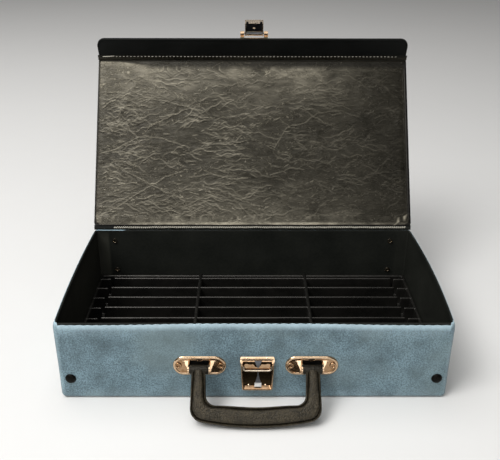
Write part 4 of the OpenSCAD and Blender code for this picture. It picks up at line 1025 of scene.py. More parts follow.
def panel_grid(width, low, high, low_r, high_r, step, inset=0.0):
    """Plan of a panel whose two ends have round corners of their own: across, along and the distance from the
    outline. Rows lie across; each row's columns are set from its own ends, so the corners are true arcs."""
    half = width / 2 - inset
    edge = np.array([0, 0.12, 0.35, 0.7, 1.1, 1.6, 2.2, 3.0, 4.0])

    def arc(radius):
        """Places of the rows across a corner"""
        return radius * (1 - np.cos(np.linspace(0, math.pi / 2, 9)))

    middle = np.linspace(low + 10, high - 10, max(int((high - low - 20) / step), 3))
    rows = np.unique(np.round(np.concatenate([low + edge, low + arc(low_r), high - edge, high - arc(high_r),
                                              middle]), 4))
    rows = apart(rows, 0.02)
    rows[-1] = high
    start, stop = low + inset, high - inset
    rows = start + (rows - low) * (stop - start) / (high - low)
    low_r, high_r = max(low_r - inset, 0.3), max(high_r - inset, 0.3)

    def drawn_in(distance, radius):
        """How far a round corner draws a row in"""
        gone = np.clip(radius - distance, 0, radius)
        return radius - np.sqrt(radius ** 2 - gone ** 2)

    row_half = half - drawn_in(rows - start, low_r) - drawn_in(stop - rows, high_r)
    margin = 5
    inner = np.linspace(-1, 1, int(2 * (half - margin) / step) + 1)
    left = -row_half[:, None] + edge
    right = row_half[:, None] - edge[::-1]
    between = inner[None, 1:-1] * (row_half[:, None] - margin)
    x = np.concatenate([left, between, right], 1)
    v = np.repeat(rows[:, None], x.shape[1], 1)
    middle_v = (start + stop) / 2
    radius = np.where(v < middle_v, low_r, high_r)
    q = np.abs(x) - (half - radius)
    p = np.abs(v - middle_v) - ((stop - start) / 2 - radius)
    distance = radius - np.minimum(np.maximum(q, p), 0) - np.hypot(np.maximum(q, 0), np.maximum(p, 0))
    return x, v, np.maximum(distance, 0)


def rounding(distance, radius):
    """Drop of a rounded edge: a quarter circle from the outline inwards."""
    d = np.minimum(distance, radius)
    return radius - np.sqrt(np.clip(radius ** 2 - (radius - d) ** 2, 0, None))


def panel_cover(name, axes, node, radii, step, body):
    """Vinyl over the outer side and the edges of a panel: a rounded sheet with its turned-down edge and its
    inner side, closed along the lip."""
    low, high = axes.span(node, "up")
    inside, outside = axes.span(node, "out")
    width = 2 * corners(node)[:, 0].max()
    x, v, d = panel_grid(width, low, high, *radii, step)
    puff = 0.10 * cloud(x, v, 37, 21) * smooth(d / 15)
    outer = axes.at(x, v, outside - 0.1 - rounding(d, 1.7) + puff)
    ix, iv, inner_d = panel_grid(width, low, high, *radii, step, inset=0.5)
    if ix.shape != x.shape:
        raise RuntimeError(f"{name}: inner and outer sheets differ")
    inner = axes.at(ix, iv, outside - 0.65 - rounding(inner_d, 1.2))
    loop = border(*x.shape)
    lip = [axes.at(across.ravel()[loop], along.ravel()[loop], inside + 0.05)
           for across, along in ((x, v), (ix, iv))]
    rubbed = 0.75 * smooth((2.4 - d) / 2.2)
    rub = np.concatenate([rubbed.ravel(), np.zeros(d.size), np.full(2 * len(loop), 0.3)])
    piece = make(name, [slab(outer, inner, lip)], "blue_vinyl", fade={"wear": rub}, sharp=50)
    return settle(piece, body, "blue_vinyl", node)


def cover_lid():
    """Outer vinyl of the lid"""
    return panel_cover("blue_lid_cover", LID, "lid_cover", (3.0, 2.0), 6.0, "lid")


def cover_flap():
    """Outer vinyl of the flap: its rounded corners are at the rim, the far end from the fold"""
    return panel_cover("blue_flap_cover", FLAP, "flap_cover", (2.0, 9.0), 6.0, "flap")


# Long wrinkles of the lid's lining: points across, as a share of half its width, and up from the hinge, as a
# share of its length
LONG_CREASES = [
    [(0.14, 0.47), (0.22, 0.59), (0.34, 0.62), (0.42, 0.68), (0.58, 0.69), (0.69, 0.66)],
    [(-0.96, 0.06), (-0.81, 0.14), (-0.64, 0.24), (-0.56, 0.29), (-0.44, 0.33)],
    [(-0.90, 0.36), (-0.73, 0.29), (-0.56, 0.20), (-0.43, 0.15)],
    [(-0.99, 0.43), (-0.87, 0.46), (-0.73, 0.53), (-0.58, 0.52), (-0.40, 0.46)],
    [(-0.40, 0.43), (-0.27, 0.49), (-0.14, 0.49), (-0.07, 0.54)],
    [(-0.40, 0.29), (-0.28, 0.31), (-0.17, 0.28), (-0.03, 0.28)],
    [(0.69, 0.37), (0.79, 0.32), (0.98, 0.24)],
    [(0.16, 0.44), (0.24, 0.44), (0.23, 0.39), (0.15, 0.42)],
    [(-0.94, 0.81), (-0.73, 0.79), (-0.48, 0.73), (-0.32, 0.69)],
    [(0.37, 0.50), (0.46, 0.47), (0.55, 0.45)],
    [(0.12, 0.30), (0.24, 0.34), (0.33, 0.33)]]


def crease_paths(half, length):
    """Paths of the lid's wrinkles, across and up from the hinge: the long ones, then bundles of short walks
    that run mostly across and wander, closest together on the left. Each has a strength."""
    rng = np.random.default_rng(11)
    pace = 0.4
    paths = []
    for crease in LONG_CREASES:
        points = np.array(crease) * (half, length)
        run = np.concatenate([[0], np.cumsum(np.hypot(*np.diff(points, axis=0).T))])
        place = np.arange(0, run[-1], pace)
        x, v = np.interp(place, run, points[:, 0]), np.interp(place, run, points[:, 1])
        v = v + 1.3 * cloud(x, 0 * x, 11, len(paths)) + 0.5 * cloud(x, 0 * x, 3.5, 20 + len(paths))
        paths.append((x, v, np.full(len(x), 0.72)))
    for _ in range(150):
        centre = np.array([half * (1 - 2 * rng.random() ** 0.75), length * rng.random()])
        if rng.random() < 0.76:
            way = rng.normal(-0.03, 0.13)
        else:
            way = rng.choice([-0.55, 0.5]) + rng.normal(0, 0.12)
        for line in range(rng.integers(3, 12)):
            steps = int((5 + min(rng.exponential(13), 45)) / pace)
            start = centre + rng.normal(0, 1, 2) * (14, 5.5)
            walk = np.tanh(np.cumsum(rng.normal(0, 0.085, steps)))
            turn = way + rng.normal(0, 0.12) + 0.5 * walk + 0.35 * np.sin(np.arange(steps) * 0.16 + line)
            x, v = start[:, None] + np.cumsum(unit(turn).T, axis=1) * pace
            fade = np.sin(np.linspace(0, math.pi, steps)) ** 0.6
            paths.append((x, v, fade * rng.uniform(0.35, 1.0)))
    return paths


def crease_map(x, v, half, length, drop=0.0, spread_mm=0.44):
    """Strength of the wrinkles at each point of a sheet: every path leaves a narrow bell-shaped line on a
    fine table, which is then read between its cells."""
    cell, margin, reach = 0.45, 5, 3
    table = np.zeros((int(length / cell) + 2 * margin + 2, int(2 * half / cell) + 2 * margin + 2))
    for px, pv, strength in crease_paths(half, length):
        column, row = (px + half) / cell + margin, (pv - drop) / cell + margin
        for i in range(-reach, reach + 1):
            for j in range(-reach, reach + 1):
                c, r = np.round(column).astype(int) + i, np.round(row).astype(int) + j
                near = (c - column) ** 2 + (r - row) ** 2
                value = strength * np.exp(-near * (cell / spread_mm) ** 2)
                inside = (c >= 0) & (r >= 0) & (c < table.shape[1]) & (r < table.shape[0])
                np.maximum.at(table, (r[inside], c[inside]), value[inside])
    column = np.clip((x + half) / cell + margin, 0, table.shape[1] - 1.001)
    row = np.clip(v / cell + margin, 0, table.shape[0] - 1.001)
    c, r = column.astype(int), row.astype(int)
    a, b = column - c, row - r
    return ((1 - b) * ((1 - a) * table[r, c] + a * table[r, c + 1])
            + b * ((1 - a) * table[r + 1, c] + a * table[r + 1, c + 1]))


def lid_shades(x, v, from_low, from_high, half, bead, sides, top_strip):
    """Shades of the lid's lining: its black edge, which also lays painted shade along the strip at the fold;
    its painted sheen, which lies at the top left and along the bottom, with painted highlights on the bead of
    its lower edge and on a tuck near its right corner; and its painted light, which makes the painted
    highlights and shade of the wrinkles stronger towards the left."""
    patchy = (0.75 + 0.25 * cloud(x, v, 18, 79) + 0.28 * cloud(x * 0.5, v, 26, 82)
              + 0.16 * cloud(x * 0.35, v, 8, 83))
    # Painted sheen of the lamps at the top left and along the bottom
    top_sheen = 0.95 * (0.6 + 0.4 * smooth((x + 165) / 50)) * (1 - smooth((x + 40) / 235))
    top_sheen = top_sheen * (1 - top_strip) * np.exp(-(from_high - 7) / 26)
    low_sheen = 0.42 * (1 - smooth((x + 20) / 240)) * np.exp(-from_low / 34)
    # Painted reflection of the hasp: a dark gap in the painted sheen
    hasp_reflection_gap = 1 - 0.8 * np.exp(-((x - 6) / 9) ** 2 - ((from_high - 9) / 9) ** 2)
    haze = np.clip(top_sheen * hasp_reflection_gap + low_sheen, 0, 0.9) * patchy
    # Painted highlight on the bead of the lower edge, and on the slanted tuck near the right corner
    bead_highlight = np.exp(-((from_low - 2.0) / 1.3) ** 2) * smooth((x + 148) / 24)
    bead_highlight = bead_highlight * (1 - 0.75 * smooth((x - 50) / 90)) * (0.66 + 0.34 * cloud(x * 0.4, v, 4, 80))
    slanted = x - half + 19 - 1.2 * from_low
    tuck = 0.5 * np.exp(-(slanted / 1.3) ** 2) * smooth((14 - from_low) / 5)
    bead_highlight = np.maximum(bead_highlight, tuck)
    # Black welded edge, and painted shade along the strip at the fold
    edge = np.maximum(smooth((bead + 0.3 - sides) / 0.5) * (1 - 0.9 * bead_highlight), 0.5 * top_strip)
    return {"edge": edge, "haze": np.maximum(haze, 2.2 * bead_highlight), "bloom": 1 - smooth((x + 120) / 290)}


def line_lid():
    """Creased lining of the lid: a plane with a welded bead round it, thin wrinkles laid along paths, ridges
    of warped noise and soft waves. Its back is one flat face."""
    low, high = LID.span("lid_lining", "up")
    low -= 0.2
    surface, back = LID.span("lid_lining", "out")
    width = 2 * corners("lid_lining")[:, 0].max()
    x, v, d = panel_grid(width, low, high, 3.0, 2.0, 0.95)
    from_low, from_high, half_lining = v - low, high - v, width / 2
    bead = np.where(from_low < 6, 1.0, 1.9 + 1.5 * smooth((x + 20) / 160))
    bend = 9.0
    past_x, past_low = np.abs(x) - (half_lining - bend), bend - from_low
    corner = bend - np.hypot(np.maximum(past_x, 0), np.maximum(past_low, 0))
    corner -= np.minimum(np.maximum(past_x, past_low), 0)
    sides = np.minimum(corner, half_lining - np.abs(x))
    near = np.clip(1 - ((sides - bead / 2) / (bead / 2)) ** 2, 0, None)
    weld = 0.5 * np.sqrt(near) - 0.25 * np.exp(-((sides - bead - 0.4) / 0.5) ** 2)
    field = smooth((d - bead - 0.5) / 6)
    warp = 14 * cloud(x, v, 60, 31)
    large = creases(x * 0.45 + warp, v, 26, 41, 6) * 0.30
    middle = creases(x * 0.4, v + warp, 12, 51, 5) * 0.20
    waves = 0.65 * cloud(x * 0.6, v, 38, 71) + 0.22 * cloud(x * 0.5, v, 15, 72)
    low_fold = 0.5 * np.exp(-((from_low - 7 - 2.5 * cloud(x, 0 * x, 50, 77)) / 1.6) ** 2)
    # The wrinkles shape the relief, and as line and shadow they carry the painted highlights along the
    # creases and the painted shade below them
    lines = crease_map(x, from_low, half_lining, high - low) * field
    shadows = crease_map(x, from_low, half_lining, high - low, 1.1, 0.9) * field
    relief = weld + field * (0.25 + large + middle + waves + low_fold + 0.16 * lines)
    strip_w = 6.3 * smooth((x + half_lining) / 75) + 0.5 * cloud(x, 0 * x, 60, 78)
    top_strip = smooth((strip_w - from_high) / 1.6)
    relief = np.where(from_high < 15, relief * (1 - 0.94 * top_strip), relief)
    shown = LID.at(x, v, surface - np.maximum(relief, -0.2))
    fade = lid_shades(x, v, from_low, from_high, half_lining, bead, sides, top_strip)
    fade.update(plan=np.stack([x, v, 0 * x], -1) * MM, line=lines, shadow=shadows)
    loop = border(*x.shape)
    rim = LID.at(x.ravel()[loop], v.ravel()[loop], back - 0.05)
    back_loop = x.size + np.arange(len(loop))
    faces = quads(*x.shape).tolist()
    faces += np.stack([loop, np.roll(loop, -1), np.roll(back_loop, -1), back_loop], -1).tolist()
    faces.append(back_loop.tolist())
    # The back takes the values of the front's border
    for label, values in fade.items():
        values = values.reshape(x.size, -1)
        fade[label] = np.concatenate([values, values[loop]]).squeeze()
    piece = make("creased_lid_lining", [(np.concatenate([shown.reshape(-1, 3), rim]), faces)], "lid_lining",
                 fade=fade, sharp=80)
    return settle(piece, "lid", "lid_lining", "lid_lining")


def line_flap():
    """Black lining of the flap, with a welded bead along its edge. It is turned over the flap's three free
    sides, through rings that follow its outline."""
    low = FLAP.span("flap_lining", "up")[0] + 3.4
    high = FLAP.span("flap_cover", "up")[1] + 0.3
    surface, back = FLAP.span("flap_lining", "out")
    outside = FLAP.span("flap_cover", "out")[1]
    width = 2 * corners("flap_cover")[:, 0].max() + 0.6
    plan = (width, low, high, 2.0, 9.0, 2.5)
    x, v, d = panel_grid(*plan)
    near = np.clip(1 - ((d - 0.8) / 0.8) ** 2, 0, None)
    relief = 0.4 * np.sqrt(near) + smooth((d - 2) / 4) * 0.2 * (1 + cloud(x, v, 24, 81))
    shown = FLAP.at(x, v, surface - relief)
    ix, iv, _ = panel_grid(*plan, inset=0.28)
    hidden = FLAP.at(ix, iv, back - 0.05)
    loop = border(*x.shape)
    turn_out = outside - 1.3
    wrapped = [(x, v, surface + 0.5), (x, v, turn_out), (ix, iv, turn_out), (ix, iv, back)]
    rings = [FLAP.at(px.ravel()[loop], pv.ravel()[loop], out) for px, pv, out in wrapped]
    # The flap's lining takes the darker copy of the black lining: painted shade
    piece = make("black_flap_lining", [slab(shown, hidden, rings)], "flap_black", sharp=60)
    return settle(piece, "flap", "black_lining", "flap_lining")


# Strips across the fold lines, and their stitches

def strip(name, path, half_width, thickness, finish):
    """Band of vinyl: a path of rear-front place and height, thickened both ways and carried along X."""
    side = leftwards(path) * thickness / 2
    section = np.concatenate([path + side, (path - side)[::-1]])
    x = np.linspace(-half_width, half_width, 121)
    points = np.empty((len(x), len(section), 3))
    points[..., 0] = x[:, None]
    points[..., 1:] = section
    return make(name, [tube(points)], finish, sharp=50)


def bend_path(start, start_way, end, end_way, steps=18):
    """Cubic curve that leaves one point along a direction and reaches another along a second."""
    t = np.linspace(0, 1, steps)[:, None]
    start, end = np.array(start), np.array(end)
    reach = np.linalg.norm(end - start) * 0.4
    one, two = start + np.array(start_way) * reach, end - np.array(end_way) * reach
    return ((1 - t) ** 3 * start + 3 * (1 - t) ** 2 * t * one + 3 * (1 - t) * t ** 2 * two + t ** 3 * end)


def strip_half_width():
    """Half the width of the strips, a little more than the lid's board."""
    return corners("lid_board")[:, 0].max() + 0.8


def sew_hinge():
    """Vinyl hinge between the base's rear rim and the lid's edge"""
    start = np.array([HINGE[1], HEIGHT - 0.1])
    up, out = LID.up[1:], LID.out[1:]
    edge = LID.span("lid_board", "up")[0]
    end = HINGE[1:] + up * (edge - 0.3)
    piece = strip("hinge_strip", bend_path(start, (0, 1), end, up), strip_half_width(), 0.7, "black_lining")
    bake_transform(piece)
    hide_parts("hinge_strip_base", "hinge_strip_lid")
    outer = bend_path(start + (1.2, -0.2), (0.2, 1), HINGE[1:] + up * (edge + 0.4) + out * 1.0, up)
    back = strip("hinge_strip_back", outer, strip_half_width(), 0.5, "blue_vinyl")
    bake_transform(back)


def sew_fold():
    """Vinyl fold between the lid and the flap: black inside and blue outside. The inner strip goes on over
    the edge of the flap's board, up to its lining."""
    lid_up, flap_up = LID.up[1:], FLAP.up[1:]
    lid_in, flap_in = -LID.out[1:], -FLAP.out[1:]
    lid_edge = LID.span("lid_board", "up")[1]
    flap_edge = FLAP.span("flap_board", "up")[0]
    start = HINGE[1:] + lid_up * (lid_edge - 2.0) + lid_in * 1.3
    crease = FOLD[1:] + (lid_in + flap_in) * 0.45
    face = FLAP.span("flap_board", "out")[0] - 0.36
    turn = FLAP.at(0.0, flap_edge - 0.6, face)[1:]
    end = FLAP.at(0.0, FLAP.span("flap_lining", "up")[0] + 5.5, face)[1:]
    halfway = (lid_up + flap_up) / 2
    path = np.concatenate([bend_path(start, lid_up, crease, halfway, 14),
                           bend_path(crease, halfway, turn, flap_up, 14)[1:],
                           turn + (end - turn) * np.linspace(0, 1, 6)[1:, None]])
    piece = strip("fold_strip", path, strip_half_width(), 0.6, "lid_lining")
    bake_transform(piece)
    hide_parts("fold_strip_lid", "fold_strip_flap")
    near = HINGE[1:] + lid_up * (lid_edge - 0.5) - lid_in * 1.2
    far = FOLD[1:] + flap_up * (flap_edge + 0.5) - flap_in * 1.2
    outer = bend_path(near, lid_up, far, flap_up)
    back = strip("fold_strip_back", outer, strip_half_width(), 0.5, "blue_vinyl")
    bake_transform(back)


def stitches(name, centres, lift, length, width, finish, lean=0.0):
    """Row of stitches: a rounded bead set at each centre, long across the case and proud in one direction.
    The lean turns it out of its row."""
    u = np.linspace(0, math.pi, 6)
    w = np.linspace(0, 2 * math.pi, 6, endpoint=False)
    thick = np.sin(u)[:, None] ** 0.55
    bead = np.stack([np.repeat(-np.cos(u)[:, None], len(w), 1) * length / 2,
                     thick * np.cos(w) * width / 2, thick * np.sin(w) * width * 0.45], -1)
    row, lift = np.array([1.0, 0.0, 0.0]), np.array(lift, float)
    off_row = np.cross(lift, row)
    c, s = math.cos(lean), math.sin(lean)
    along, across = row * c + off_row * s, off_row * c - row * s
    template = bead[..., :1] * along + bead[..., 1:2] * across + bead[..., 2:] * lift
    blocks = [tube(template + centre) for centre in centres]
    return make(name, blocks, finish, sharp=80)


def sew_seams():
    """Threads along the front rim, the rear rim and the flap's fold, pale in part as painted highlights, and
    a pale bar at the left end of the fold as a painted highlight
    """
    sizes = bpy.context.scene.case_sizes
    rim = Rim()
    pitch = sizes.rim_pitch / MM
    half_count = 23
    spots = (np.arange(-half_count, half_count) + 0.5) * pitch
    z = EDGE_ON_FRONT - 0.35 - sunk_ends(spots)
    inset, height = rim.section[:rim.outer_wall()].T
    centres = np.stack([spots, -HALF_D + np.interp(z, height, inset) - 0.02, z + 0.05], -1)
    # Pale thread: painted highlights where the vinyl puckers between the stitches
    front = stitches("front_rim_stitches", centres, (0, -0.85, 0.5), pitch * 0.66, 0.55, "pale_thread")
    settle(front, "base", "blue_vinyl")
    pitch = sizes.hinge_pitch / MM
    first, last = -154, HALF_W - 7
    spots = np.arange(first, last, pitch)
    rise = 0.3 * smooth((-100 - spots) / 30)
    uneven = 0.2 * cloud(spots, 0 * spots, 5, 95)
    centres = np.stack([spots, np.full_like(spots, HINGE[1] - 0.3), HINGE[2] + 0.6 - rise + uneven], -1)
    # Cream thread along the rear rim, pale in part as painted highlight
    rear = stitches("rear_rim_stitches", centres, (0, -0.8, 0.6), pitch * 1.25, 1.9, "cream_thread", 0.75)
    settle(rear, "base", "blue_vinyl")
    pitch = sizes.fold_pitch / MM
    last = 168
    spots = np.arange(-last, last, pitch)
    level = FLAP.span("flap_lining", "up")[0] + 4.3
    face = FLAP.span("flap_lining", "out")[0] - 0.5
    inward = -FLAP.out
    centres = FLAP.at(spots, level, face)
    # Cream thread: painted glints of the fold's stitches
    fold = stitches("fold_stitches", centres, inward, pitch * 0.5, 0.9, "cream_thread")
    settle(fold, "flap", "black_lining")
    # A pale bar at the left end of the fold: painted highlight
    end_highlight = stitches("fold_end_painted_highlight", centres[:1] + (3.0, 0, 0), inward, 15.0, 1.3, "cream_thread", 0.05)
    settle(end_highlight, "flap", "black_lining")


# Handle plates, rivets and pins

def ray_outline(polygon, angles):
    """Distance from the origin to a polygon round it, for each direction: each ray meets the edge that its
    angle falls in, by the ratio of two cross products."""
    polygon = np.array(polygon, float)
    turn = np.arctan2(polygon[:, 1], polygon[:, 0])
    order = np.argsort(turn)
    polygon, turn = polygon[order], turn[order]
    index = np.searchsorted(turn, angles, side="right") - 1
    a, b = polygon[index % len(polygon)], polygon[(index + 1) % len(polygon)]
    way = unit(angles)
    edge = b - a
    return (a[:, 0] * edge[:, 1] - a[:, 1] * edge[:, 0]) / (way[:, 0] * edge[:, 1] - way[:, 1] * edge[:, 0])


def stadium_reach(angles, half_flat, radius):
    """Distance from the middle of a stadium to its outline: to the flat side, or to the round end."""
    c, s = np.abs(np.cos(angles)), np.abs(np.sin(angles))
    flat = radius / np.maximum(s, 1e-9)
    ends = half_flat * c + np.sqrt(np.clip(radius ** 2 - (half_flat * s) ** 2, 0, None))
    return np.where(flat * c <= half_flat, flat, ends)


def round_angles(count, *outlines):
    """Even angles all round, and those at which the corners of outlines lie."""
    even = np.linspace(-math.pi, math.pi, count, endpoint=False) + 0.01
    own = [np.arctan2(*np.array(outline, float).T[::-1]) for outline in outlines]
    return np.unique(np.concatenate([even, *own]))


def gusset(x0, z0, side, root, rise):
    """Fillet between an ear and its plate: a bell-shaped sheet whose front leans back towards its top, as
    rows of points across it that widen towards the top."""
    t = np.linspace(0, 1, 9)[:, None]
    u = np.linspace(0, 1, 9)[None]
    half_h, foot, crest = 4.6, 0.75, 5.6 - 4.7 * t
    z = z0 + (rise - half_h + 2 * half_h * t + 0 * u)
    x = x0 + side * (root + (0.5 + 5.6 * t ** 1.2) * u)
    out = np.maximum(foot + (crest - foot) * (1 - smooth((u - 0.72) / 0.28)), foot)
    return slab(FRONT.at(x, z, out), FRONT.at(x, z, 0.5))


def handle_plate(side):
    """Pressed plate: rings from the stadium outline over its rolled rim and recess to the window, with a pair
    of ears and their gussets."""
    node = f"handle_plate_{side}"
    low, high = box(node)
    x0, z0 = front_middle(node)
    z0 -= 0.45
    half_l, half_w = (high[0] - low[0]) / 2 - 0.3, (high[2] - low[2]) / 2 - 0.6
    tall, recess, rise = 1.5, 1.0, PINS[2] - z0
    half, sill, top, notch = 8.7, rise - 6.0, rise + 5.2, 3.0
    window = [(-half, sill), (half, sill), (half, top), (notch, top), (0, top - 1.6), (-notch, top),
              (-half, top)]
    angles = round_angles(144, window)
    way = unit(angles)
    hole = ray_outline(window, angles)
    flat = half_l - half_w
    rolled = [(0.0, 0.0), (0.0, 0.25), (0.2, 0.65), (0.55, 1.02), (1.05, 1.32), (1.6, 1.47), (2.0, tall),
              (2.35, 1.40), (2.6, 1.15), (2.8, recess - 0.06), (3.2, recess - 0.12)]
    rings = [(stadium_reach(angles, flat, half_w - inset), out) for inset, out in rolled]
    last = rings[-1][0]
    for share, out in ((0.35, recess - 0.2), (0.7, recess - 0.14), (0.92, recess), (0.985, recess - 0.08),
                       (1.0, recess - 0.3), (1.0, 0.0)):
        rings.append((last * (1 - share) + hole * share, out))
    points = np.stack([FRONT.at(x0 + r * way[:, 0], z0 + r * way[:, 1], out) for r, out in rings])
    rows, cols = points.shape[:2]
    blocks = [grid(points, wrap_rows=True, wrap_cols=True)]
    pin_out, ear_r, ear_t, ear_x = -PINS[1] - HALF_D, 4.0, 1.2, 8.8
    round_top = [(rise - ear_r * math.cos(a), pin_out + ear_r * math.sin(a))
                 for a in np.linspace(0, math.pi, 15)]
    ear = [(rise - ear_r, 0.6), *round_top, (rise + ear_r, 0.6)]
    for way_x in (-1, 1):
        blocks.append(prism(ear, ear_x, ear_x + ear_t,
                            lambda z, out, x: FRONT.at(x0 + way_x * x, z0 + z, out)))
        blocks.append(gusset(x0, z0, way_x, ear_x + ear_t - 0.2, rise))
    hollow = np.repeat(np.arange(rows) >= len(rolled) - 2, cols) * 0.7
    rest = sum(len(block[0]) for block in blocks[1:])
    plate = make(f"pressed_plate_{side}", blocks, "brass_plate", sharp=35,
                 fade={"wear": np.concatenate([hollow, np.zeros(rest)])})
    return settle(plate, "base", "brass_plate", node)


def shade_plate_windows():
    """Black sheets in the windows of the handle plates: painted shade behind the handle's barrels"""
    blocks = []
    for side in ("left", "right"):
        x0, _ = front_middle(f"handle_plate_{side}")
        square = [(-8.6, -6.0), (8.6, -6.0), (8.6, 5.1), (-8.6, 5.1)]
        blocks.append(prism(square, 0.05, 0.45, lambda x, z, out: FRONT.at(x0 + x, PINS[2] + z, out)))
    shade_sheets = make("window_shade_sheets", blocks, "black_plastic")
    settle(shade_sheets, "base", "black_plastic")


def tube_rivet(depth, seat):
    """Profile of a tubular rivet whose head sits at a level: bore, domed head, shank and flared end."""
    head_r, head_h, bore_r, shank_r, flare_r, flare_h = 3.2, 1.0, 1.2, 2.0, 2.9, 0.7
    t = np.linspace(0, math.pi, 9)
    middle, half = (head_r + bore_r) / 2, (head_r - bore_r) / 2
    head = [(middle - half * math.cos(a), head_h * (0.25 + 0.75 * math.sin(a))) for a in t]
    end = [(flare_r, -depth), (flare_r - 0.2, -depth - flare_h), (bore_r + 0.3, -depth - flare_h),
           (bore_r, -depth - flare_h * 0.4)]
    return np.array(head + [(head_r, 0), (shank_r, 0), (shank_r, -depth)] + end) + (0, seat)


def set_plate_rivets():
    """Tubular rivets of both handle plates"""
    blocks = []
    profile = tube_rivet(5.2, 1.05)
    for side in ("left", "right"):
        x0, z0 = front_middle(f"handle_plate_{side}")
        blocks += [lathe(profile, (x0 + offset, z0), FRONT) for offset in (-19.2, 19.2)]
    dull = np.full(sum(len(block[0]) for block in blocks), 0.6)
    rivets = make("plate_rivets", blocks, "brass_plate", sharp=50, fade={"wear": dull})
    settle(rivets, "base", "rivet_metal", "handle_plate_rivets")


def turn_studs():
    """Black studs low on the front, and the four rear feet with their rivets"""
    low, high = box("front_studs")
    radius = (high[2] - low[2]) / 2
    x0, z0 = high[0] - radius, front_middle("front_studs")[1]
    tall = -HALF_D - low[1]
    t = np.linspace(0, math.pi / 2, 10)
    nail_r, nail_end, brim = 1.5, -3.4, 0.35
    profile = [(nail_r, nail_end), (nail_r, 0), (radius - 0.3, 0), (radius, brim)]
    crown = unit(t * 0.98 + 0.02) * (radius - 0.1, tall - brim) + (0, brim)
    profile += [tuple(point) for point in crown[1:]] + [(0.02, tall), (0.02, nail_end)]
    studs = make("black_studs", [lathe(profile, (side * x0, z0), FRONT) for side in (-1, 1)],
                 "black_plastic", sharp=50)
    settle(studs, "base", "black_plastic", "front_studs")
    low, high = box("rear_feet")
    radius, tall, seat = 6.0, 4.0, 2.5
    spots = [(side * (high[0] - radius), z) for side in (-1, 1) for z in (low[2] + radius, high[2] - radius)]
    foot = [(2.05, 0), (radius - 0.3, 0), (radius, 0.4), (radius - 0.35, 1.5), (radius - 1.0, 2.7),
            (radius - 1.8, 3.6), (radius - 2.4, tall), (3.35, tall - 0.1), (3.3, seat), (2.05, seat)]
    feet = make("black_rear_feet", [lathe(foot, spot, REAR) for spot in spots], "black_plastic", sharp=40)
    settle(feet, "base", "black_plastic", "rear_feet")
    blocks = [lathe(tube_rivet(6.6, seat), spot, REAR) for spot in spots]
    rivets = make("rear_foot_tube_rivets", blocks, "rivet_metal", sharp=50)
    settle(rivets, "base", "rivet_metal", "rear_foot_rivets")


# The handle

def handle_outline():
    """Outer and inner edges of the handle at matching stations: legs, corner arcs and the long bow outside;
    legs, corner arcs and a straight inside. Across is X, down is the distance from the pins."""
    outer_half, inner_half, start = 57.8, 44.1, 1.2
    reach, inner_down, corner, inner_corner, bow = 50.5, 33.0, 12.0, 9.0, 243.0
    centre = bow - reach
    corner_x = outer_half - corner
    corner_down = math.sqrt((bow - corner) ** 2 - corner_x ** 2) - centre
    slope = math.atan2(corner_x, centre + corner_down)
    leg, turn, half_bow = 26, 18, 34
    t_leg = np.linspace(0, 1, leg, endpoint=False)
    t_turn = np.linspace(0, 1, turn, endpoint=False)
    t_bow = np.linspace(0, 1, half_bow)
    angle = t_turn * (math.pi / 2 - slope)
    outer = np.concatenate([
        np.stack([-outer_half + 0.5 * (1 - t_leg), start + (corner_down - start) * t_leg], -1),
        np.stack([-corner_x - corner * np.cos(angle), corner_down + corner * np.sin(angle)], -1),
        np.stack([-bow * np.sin(slope * (1 - t_bow)), -centre + bow * np.cos(slope * (1 - t_bow))], -1)])
    inner_turn_down = inner_down - inner_corner
    angle = t_turn * math.pi / 2
    inner_x = inner_half - inner_corner
    turn_x, turn_down = -inner_corner * np.cos(angle), inner_corner * np.sin(angle)
    inner = np.concatenate([
        np.stack([-inner_half - 0.7 * (1 - t_leg), start + (inner_turn_down - start) * t_leg], -1),
        np.stack([-inner_x + turn_x, inner_turn_down + turn_down], -1),
        np.stack([-inner_x * (1 - t_bow), np.full(half_bow, inner_down)], -1)])
    inner[:, 1] -= 1.6 * smooth(-inner[:, 0] / inner_x) * smooth(inner[:, 1] / 12)
    return [np.concatenate([edge, (edge * (-1, 1))[-2::-1]]) for edge in (outer, inner)]


